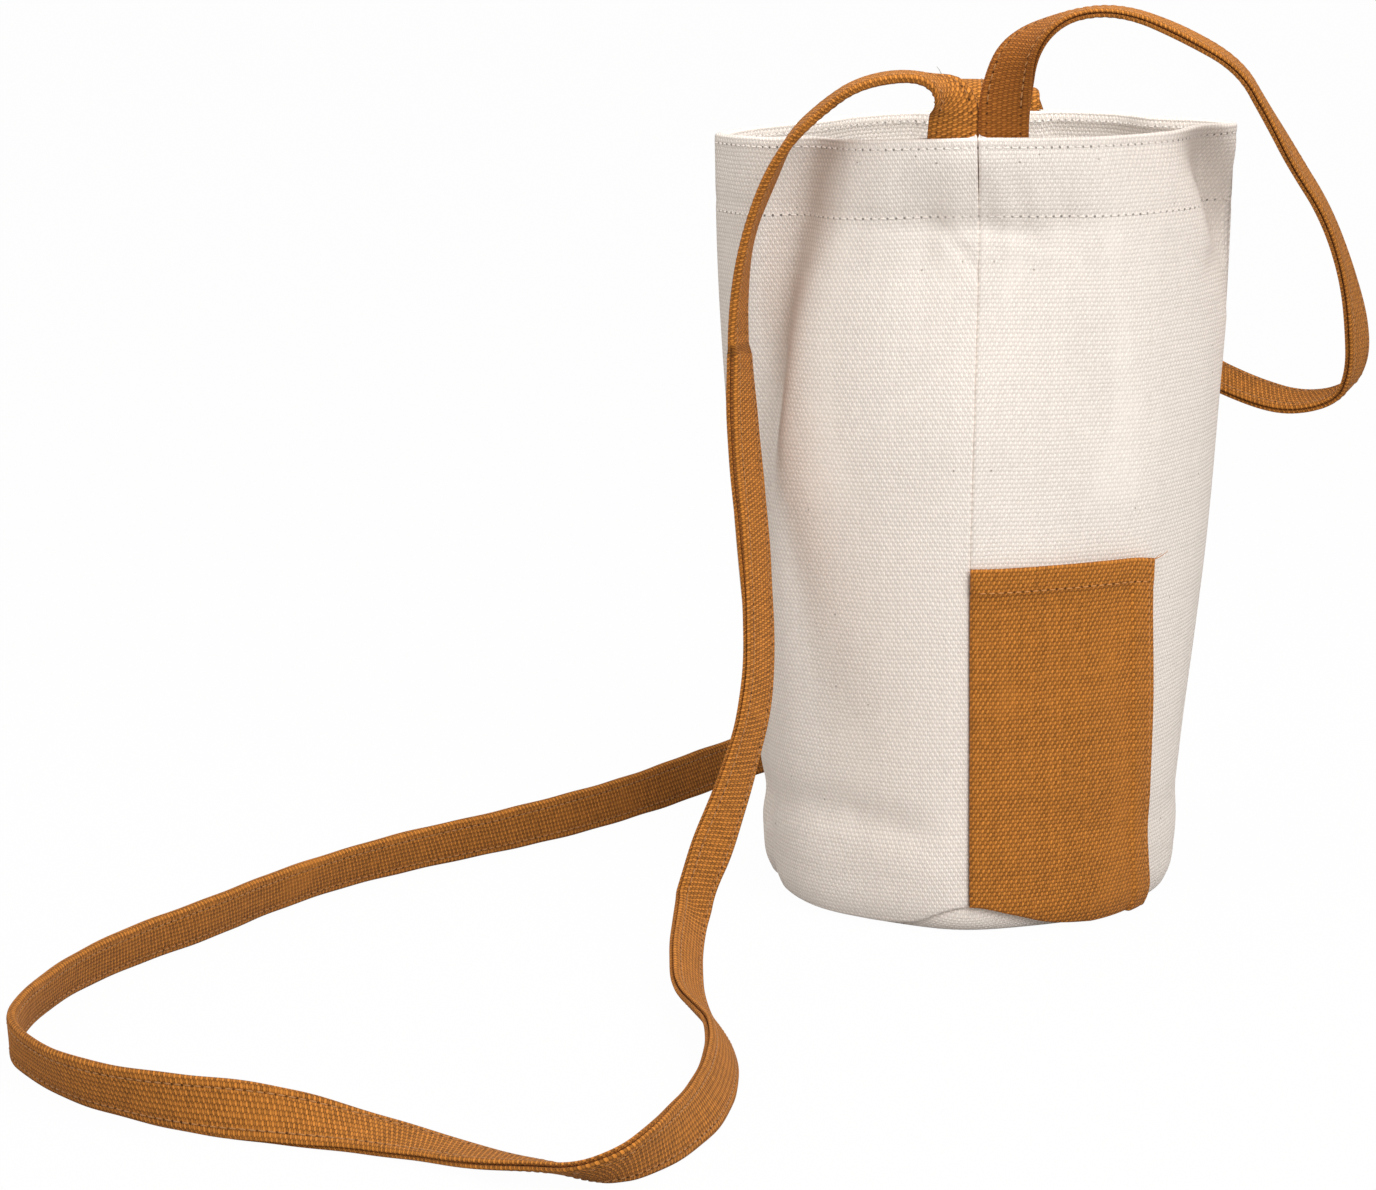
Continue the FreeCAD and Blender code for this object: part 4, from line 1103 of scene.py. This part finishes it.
class StrapLine:
    """A strap's centreline with its crosswise and thickness directions, evenly spaced."""

    def __init__(self, name, route):
        points, across = (np.array(values, float) for values in zip(*route))
        centre = spline_points(name + "_centre", points)
        edge = spline_points(name + "_edge", points + unit(across) * (STRAP_WIDTH / 2))
        along = lengths_along(centre)
        self.length = along[-1]
        self.along = np.linspace(0, self.length, int(self.length / STRAP_SPACING) + 1)
        self.centre = read_line(self.along, along, centre)
        self.tangent = unit(np.gradient(self.centre, axis=0))
        sideways = read_line(self.along, along, edge - centre)
        sideways -= (sideways * self.tangent).sum(1)[:, None] * self.tangent
        self.across = unit(sideways)
        self.face = np.cross(self.tangent, self.across)

    def at(self, distance, sideways, out):
        """Points at distances along, moved sideways and out of the face, and the strap's direction there."""
        ways = (self.centre, self.across, self.face, self.tangent)
        centre, across, face, tangent = (read_line(distance, self.along, way) for way in ways)
        return centre + across * sideways + face * out, tangent


def lap(along):
    """How far the ply lapped over the long strap's joint stands out of its face, in millimetres."""
    past = along - LAP_START
    return LAP_HEIGHT * soft_step(0.0, LAP_RISE, past) * (1 - soft_step(*LAP_FADE, past))


def make_strap(name, node, finish, route, joined):
    """A two-ply strap swept along its route; at its joint the long one turns over and a ply laps it."""
    line = StrapLine(name, route)
    places = line.along.copy()
    if joined:
        first = int(np.searchsorted(places, LAP_START))
        places[first - 1] = places[first] - LAP_EDGE
    centre, across, face = (
        read_line(places, line.along, way)[:, None, :] for way in (line.centre, line.across, line.face)
    )
    lapped = lap(places) if joined else 0 * places
    turned = (places < LAP_START) & joined
    half = len(STRAP_LOOP) // 2
    sections = np.where(turned[:, None, None], -np.roll(STRAP_LOOP, half, axis=0), STRAP_LOOP)
    girths = np.where(turned[:, None], np.roll(STRAP_GIRTH, half), STRAP_GIRTH)
    wander = 1 + 0.012 * np.sin(line.along * 260) + 0.010 * np.sin(line.along * 97 + 1.3)
    flatten = 1 + 0.05 * np.sin(line.along * 143 + 0.7)
    width = sections[:, :, 0] * wander[:, None]
    height = sections[:, :, 1] * flatten[:, None] + (sections[:, :, 1] > 0.2) * lapped[:, None]
    rings = centre + across * (width[:, :, None] * MM) + face * (height[:, :, None] * MM)
    uvs = np.stack(np.broadcast_arrays(places[:, None], girths * MM), axis=-1)
    strap = make_object(
        name, rings.reshape(-1, 3), tube_faces(*rings.shape[:2]), get_material(finish), uvs.reshape(-1, 2)
    )
    settle(strap, "tan_canvas", node)
    beats = np.arange(FIRST_STITCH, (line.length - UNSEWN_END) / (STRAP_PITCH * MM)) * STRAP_PITCH * MM
    rise = lap(beats) if joined else 0 * beats
    rows = [
        line.at(beats, sideways * MM, out[:, None] * MM)
        for sideways in STRAP_ROWS for out in (STITCH_HEIGHT + rise, -STITCH_HEIGHT + 0 * rise)
    ]
    stitches = sew(
        name.replace("canvas", "stitches"), rows, "strap_thread", "tan_canvas", length=2.3, thickness=1.1
    )
    start = line.at(np.array([0.0175]), 0.0, 0.0)[0][0]


# ---------------------------------------------------------------- stitches


def stitch_tree():
    """Geometry nodes that lay one thread stitch on every point of a marked row."""
    name = "Row of stitches"
    if bpy.data.node_groups.get(name):
        return bpy.data.node_groups[name]
    tree = bpy.data.node_groups.new(name, "GeometryNodeTree")
    face = tree.interface
    face.new_socket("Geometry", in_out="INPUT", socket_type="NodeSocketGeometry")
    for label, default, low, high in (
        ("Stitch Length", 0.0021, 0.0005, 0.01),
        ("Thread Diameter", 0.0005, 0.0001, 0.003),
        ("Unevenness", 0.06, 0.0, 1.0),
    ):
        socket = face.new_socket(label, in_out="INPUT", socket_type="NodeSocketFloat")
        socket.default_value, socket.min_value, socket.max_value = default, low, high
    face.new_socket("Thread", in_out="INPUT", socket_type="NodeSocketMaterial")
    face.new_socket("Geometry", in_out="OUTPUT", socket_type="NodeSocketGeometry")

    def add(kind, sockets, out=0, **settings):
        """Adds a node: its settings, then each socket's value or link; gives back one of its outputs."""
        made = tree.nodes.new(kind)
        for key, value in settings.items():
            setattr(made, key, value)
        for key, value in sockets.items():
            if isinstance(value, bpy.types.NodeSocket):
                tree.links.new(value, made.inputs[key])
            else:
                made.inputs[key].default_value = value
        return made.outputs[out] if made.outputs else None

    given = tree.nodes.new("NodeGroupInput").outputs
    thread = given["Thread Diameter"]
    points = add("GeometryNodeMeshToPoints", {"Mesh": given["Geometry"]}, "Points")
    bead = add("GeometryNodeMeshUVSphere", {"Segments": 6, "Rings": 5, "Radius": 0.5}, "Mesh")
    size = add("ShaderNodeCombineXYZ", {0: thread, 1: thread, 2: given["Stitch Length"]})
    stitch = add("GeometryNodeTransform", {"Geometry": bead, "Scale": size}, "Geometry")
    along = add(
        "GeometryNodeInputNamedAttribute", {"Name": "along"}, "Attribute", data_type="FLOAT_VECTOR"
    )
    turned = add("FunctionNodeAlignRotationToVector", {"Vector": along}, "Rotation", axis="Z")
    uneven = add(
        "FunctionNodeRandomValue", {"Min": (-1, -1, -1), "Max": (1, 1, 1), "Seed": 11}, "Value",
        data_type="FLOAT_VECTOR",
    )
    scaled = add("ShaderNodeVectorMath", {0: uneven, "Scale": given["Unevenness"]}, operation="SCALE")
    grown = add("ShaderNodeVectorMath", {0: (1, 1, 1), 1: scaled}, operation="ADD")
    placed = add(
        "GeometryNodeInstanceOnPoints",
        {"Points": points, "Instance": stitch, "Rotation": turned, "Scale": grown}, "Instances",
    )
    real = add("GeometryNodeRealizeInstances", {"Geometry": placed}, "Geometry")
    smooth = add("GeometryNodeSetShadeSmooth", {"Geometry": real}, "Geometry")
    finished = add(
        "GeometryNodeSetMaterial", {"Geometry": smooth, "Material": given["Thread"]}, "Geometry"
    )
    add("NodeGroupOutput", {"Geometry": finished})
    return tree


def sew(name, rows, finish, slot, length, thickness=1.0):
    """Rows of stitches as one mesh piece: a length in millimetres and a share of the thread's diameter."""
    centres, directions = (np.concatenate(values) for values in zip(*rows))
    mesh = bpy.data.meshes.new(name)
    mesh.from_pydata([tuple(p) for p in centres], [], [])
    layer = mesh.attributes.new("along", "FLOAT_VECTOR", "POINT")
    layer.data.foreach_set("vector", directions.astype(np.float32).ravel())
    made = add_object(name, mesh)
    threads = made.modifiers.new("Stitches", "NODES")
    threads.node_group = stitch_tree()
    diameter = bpy.context.scene.picking_bag.thread_diameter * thickness
    values = {"Stitch Length": length * MM, "Thread Diameter": diameter, "Thread": get_material(finish)}
    for item in threads.node_group.interface.items_tree:
        if item.item_type == "SOCKET" and item.in_out == "INPUT" and item.name in values:
            threads[item.identifier] = values[item.name]
    apply_modifiers(made)
    return settle(made, slot)


def loose_threads(name, finish, slot, ends):
    """Cut thread ends: for each a start in metres, its way, how it curls, and its length and thickness."""
    points, faces = [], []
    rings, sides = 9, 6
    for start, way, curl, length, thickness in ends:
        way, curl = Vector(way).normalized(), Vector(curl).normalized()
        across = way.cross(curl).normalized()
        faces += shifted(tube_faces(rings, sides), len(points))
        for ring in range(rings):
            share = ring / (rings - 1)
            centre = Vector(start) + way * (length * share * MM) + curl * (length * 0.35 * share * share * MM)
            radius = thickness / 2 * MM * (1 - 0.4 * share)
            for k in range(sides):
                turn = 2 * math.pi * k / sides
                points.append(centre + across * (radius * math.cos(turn)) + curl * (radius * math.sin(turn)))
    return settle(make_object(name, points, faces, get_material(finish)), slot)


def wall_row(side, drop, inside):
    """Stitch centres and directions along a row round one panel, a drop below the rim."""
    beats = (np.arange(1, 77) + 0.5) * STITCH_PITCH
    far = beats > PANEL_REACH
    u = np.where(far, 2 * PANEL_REACH - beats, beats)
    column = SHAPE.column_of(u, far)
    height = SHAPE.rim_at(side, column, far) - drop
    offset = -FACING_INSET - 0.07 - strap_room(side, u, drop, far) if inside else 0.02
    ahead, behind = (SHAPE.at(side, column + step, height) for step in (0.3, -0.3))
    return SHAPE.at(side, column, height, offset) * MM, ahead - behind


# ---------------------------------------------------------------- stage


# The soft lights: name, place, aim, diameter, and share of the key light's power.
LIGHTS = (
    ("front_light", (0.85, -1.35, 1.25), (0.0, 0.0, 0.12), 1.4, 1.0),
    ("right_light", (1.5, -0.7, 0.75), (0.0, 0.0, 0.12), 1.2, 0.08),
    ("left_light", (-1.4, -0.8, 0.7), (0.0, 0.0, 0.12), 1.2, 0.23),
    ("mouth_light", (0.0, -0.03, 0.62), (0.0, 0.06, 0.24), 0.3, 0.048),
)

# The camera's place in metres, its tilt and turn in degrees, and its lens and sensor in millimetres.
CAMERA_PLACE = (0.0, -1.3, 0.387)
CAMERA_TILT, CAMERA_TURN = 77.39, 2.80
LENS, SENSOR = 105.7, 36.0
LENS_SHIFT = -0.0647

# The paper sweep in metres: half its width, its ends, and where and how tightly it bends up.
SWEEP_HALF_WIDTH = 5.0
SWEEP_FRONT, SWEEP_TOP = -4.0, 4.0
SWEEP_BEND, SWEEP_RADIUS = 3.0, 0.8

WHITE = (1.0, 1.0, 1.0)
SKY_TINT = (1.0, 0.92, 0.83)
PAPER_TINT = (0.42, 0.42, 0.42)
PAPER_GLOW = 1.015
PAPER_WHITE_SHARE = 0.965


def add_sweep():
    """The paper floor, which bends up into a wall far behind the bag."""
    turns = np.linspace(0, math.pi / 2, 13)
    back = [SWEEP_FRONT, *(SWEEP_BEND + SWEEP_RADIUS * np.sin(turns)), SWEEP_BEND + SWEEP_RADIUS]
    up = [0.0, *(SWEEP_RADIUS - SWEEP_RADIUS * np.cos(turns)), SWEEP_TOP]
    points = [(x, y, z) for y, z in zip(back, up) for x in (-SWEEP_HALF_WIDTH, SWEEP_HALF_WIDTH)]
    floor = make_object("studio_floor", points, grid_faces(len(up), 2), studio_paper())


def studio_paper():
    """White paper that stays white to the camera and keeps a faint shadow."""
    shader = Shader("studio_paper")
    paper = shader.node("ShaderNodeBsdfDiffuse", None, {"Color": PAPER_TINT})
    white = shader.node("ShaderNodeEmission", None, {"Color": WHITE, "Strength": PAPER_GLOW})
    return shader.finish(shader.blend(shader.seen() * PAPER_WHITE_SHARE, paper, white))


def studio_sky(strength):
    """An even warm light from all round, which the camera sees as plain white."""
    shader = Shader("studio_sky", bpy.data.worlds)
    ambient = shader.node("ShaderNodeBackground", None, {"Color": SKY_TINT, "Strength": strength})
    plain = shader.node("ShaderNodeBackground", None, {"Color": WHITE, "Strength": 1.0})
    return shader.finish(shader.blend(shader.seen(), ambient, plain), "ShaderNodeOutputWorld")


def add_light(name, place, aim, size, power):
    """A round soft light that faces its aim."""
    data = bpy.data.lights.new(name, "AREA")
    data.shape = "DISK"
    data.size = size
    data.energy = power
    lamp = add_object(name, data)
    lamp.location = place
    lamp.rotation_euler = (Vector(aim) - Vector(place)).to_track_quat("-Z", "Y").to_euler()


def add_camera():
    """The camera in front of the bag and a little above it."""
    data = bpy.data.cameras.new("camera")
    data.lens = LENS
    data.sensor_width = SENSOR
    data.shift_x = LENS_SHIFT
    data.clip_end = 50.0
    camera = add_object("camera", data)
    camera.location = CAMERA_PLACE
    camera.rotation_euler = (math.radians(CAMERA_TILT), 0.0, math.radians(CAMERA_TURN))
    return camera


# ---------------------------------------------------------------- settings and operators


class PickingBagSettings(bpy.types.PropertyGroup):
    """Colours and sizes of the bag and its stage."""

    natural_canvas: bpy.props.FloatVectorProperty(
        name="Natural canvas", description="Undyed cotton of the walls and base", subtype="COLOR",
        size=3, default=linear("f0e8e1"), min=0.0, max=1.0)
    tan_canvas: bpy.props.FloatVectorProperty(
        name="Tan canvas", description="Dyed cotton of the straps and the pocket", subtype="COLOR",
        size=3, default=linear("b4732f"), min=0.0, max=1.0)
    tan_thread: bpy.props.FloatVectorProperty(
        name="Tan thread", description="Sewing thread on the straps and the pocket", subtype="COLOR",
        size=3, default=linear("c98a48"), min=0.0, max=1.0)
    thread_diameter: bpy.props.FloatProperty(
        name="Thread diameter", description="Thickness of the sewing thread", default=0.0005,
        min=0.0002, max=0.002, unit="LENGTH")
    key_power: bpy.props.FloatProperty(
        name="Key light", description="Power of the large soft light in front", default=24.0,
        min=0.0, max=500.0, unit="POWER")
    sky_strength: bpy.props.FloatProperty(
        name="Ambient light", description="Strength of the even light from all round", default=0.54,
        min=0.0, max=3.0)


class BAG_OT_walls(bpy.types.Operator):
    """Make the two sewn wall panels"""

    bl_idname = "picking_bag.walls"
    bl_label = "Wall panels"

    def execute(self, context):
        make_wall(-1, "left_wall_canvas", "left_wall")
        make_wall(1, "right_wall_canvas", "right_wall")
        return {"FINISHED"}


class BAG_OT_facings(bpy.types.Operator):
    """Make the two facings inside the rim"""

    bl_idname = "picking_bag.facings"
    bl_label = "Rim facings"

    def execute(self, context):
        make_facing(-1, "left_facing_canvas", "left_facing")
        make_facing(1, "right_facing_canvas", "right_facing")
        return {"FINISHED"}


class BAG_OT_base(bpy.types.Operator):
    """Make the round base"""

    bl_idname = "picking_bag.base"
    bl_label = "Base"

    def execute(self, context):
        make_base()
        return {"FINISHED"}


class BAG_OT_pocket(bpy.types.Operator):
    """Make the patch pocket with its stitches and loose thread ends"""

    bl_idname = "picking_bag.pocket"
    bl_label = "Patch pocket"

    def execute(self, context):
        make_pocket()
        return {"FINISHED"}


class BAG_OT_straps(bpy.types.Operator):
    """Make the two flat straps with their stitches"""

    bl_idname = "picking_bag.straps"
    bl_label = "Straps"

    def execute(self, context):
        make_strap("long_strap_canvas", "long_strap", "tan_strap_canvas", LONG_ROUTE, True)
        make_strap("short_strap_canvas", "short_strap", "tan_short_strap_canvas", SHORT_ROUTE, False)
        return {"FINISHED"}


class BAG_OT_stitches(bpy.types.Operator):
    """Sew the rows of stitches on the walls and facings, and leave the long strap's loose thread ends"""

    bl_idname = "picking_bag.stitches"
    bl_label = "Stitching"

    def execute(self, context):
        rows = [
            wall_row(side, drop, inside) for side in (-1, 1) for drop in RIM_ROWS for inside in (False, True)
        ]
        sew("rim_stitches", rows, "natural_thread", "natural_canvas", length=2.1)
        line = StrapLine("long_strap", LONG_ROUTE)
        (joint, bend), _ = line.at(np.array([LAP_START + 0.003, 0.033]), 0.0074, 0.0004)
        loose_threads("strap_thread_ends", "grey_thread", "natural_canvas", [
            (joint, (-1, -0.2, 0.6), (0.2, 0, 1), 3.6, 0.28),
            (bend, (-0.2, -0.3, 1), (-1, 0, 0.3), 3.4, 0.28),
        ])
        return {"FINISHED"}


class BAG_OT_stage(bpy.types.Operator):
    """Set the floor, the soft lights and the camera"""

    bl_idname = "picking_bag.stage"
    bl_label = "Stage"

    def execute(self, context):
        settings = context.scene.picking_bag
        add_sweep()
        for name, place, aim, size, share in LIGHTS:
            add_light(name, place, aim, size, settings.key_power * share)
        context.scene.world = studio_sky(settings.sky_strength)
        context.scene.camera = add_camera()
        context.scene.view_settings.view_transform = "Standard"
        return {"FINISHED"}


class BAG_PT_panel(bpy.types.Panel):
    """Lists the bag's settings and pieces"""

    bl_idname = "BAG_PT_panel"
    bl_label = "Picking Bag"
    bl_space_type = "VIEW_3D"
    bl_region_type = "UI"
    bl_category = "Picking Bag"

    def draw(self, context):
        column = self.layout.column()
        for name in PickingBagSettings.__annotations__:
            column.prop(context.scene.picking_bag, name)
        for operator in OPERATORS:
            column.operator(operator.bl_idname)


OPERATORS = (
    BAG_OT_walls, BAG_OT_facings, BAG_OT_base, BAG_OT_pocket, BAG_OT_straps, BAG_OT_stitches, BAG_OT_stage,
)


def register():
    for item in (PickingBagSettings, *OPERATORS, BAG_PT_panel):
        bpy.utils.register_class(item)
    bpy.types.Scene.picking_bag = bpy.props.PointerProperty(type=PickingBagSettings)


def unregister():
    del bpy.types.Scene.picking_bag
    for item in reversed((PickingBagSettings, *OPERATORS, BAG_PT_panel)):
        bpy.utils.unregister_class(item)


def main():
    register()
    bpy.ops.picking_bag.walls()
    bpy.ops.picking_bag.facings()
    bpy.ops.picking_bag.base()
    bpy.ops.picking_bag.pocket()
    bpy.ops.picking_bag.straps()
    bpy.ops.picking_bag.stitches()
    bpy.ops.picking_bag.stage()


if __name__ == "__main__":
    main()
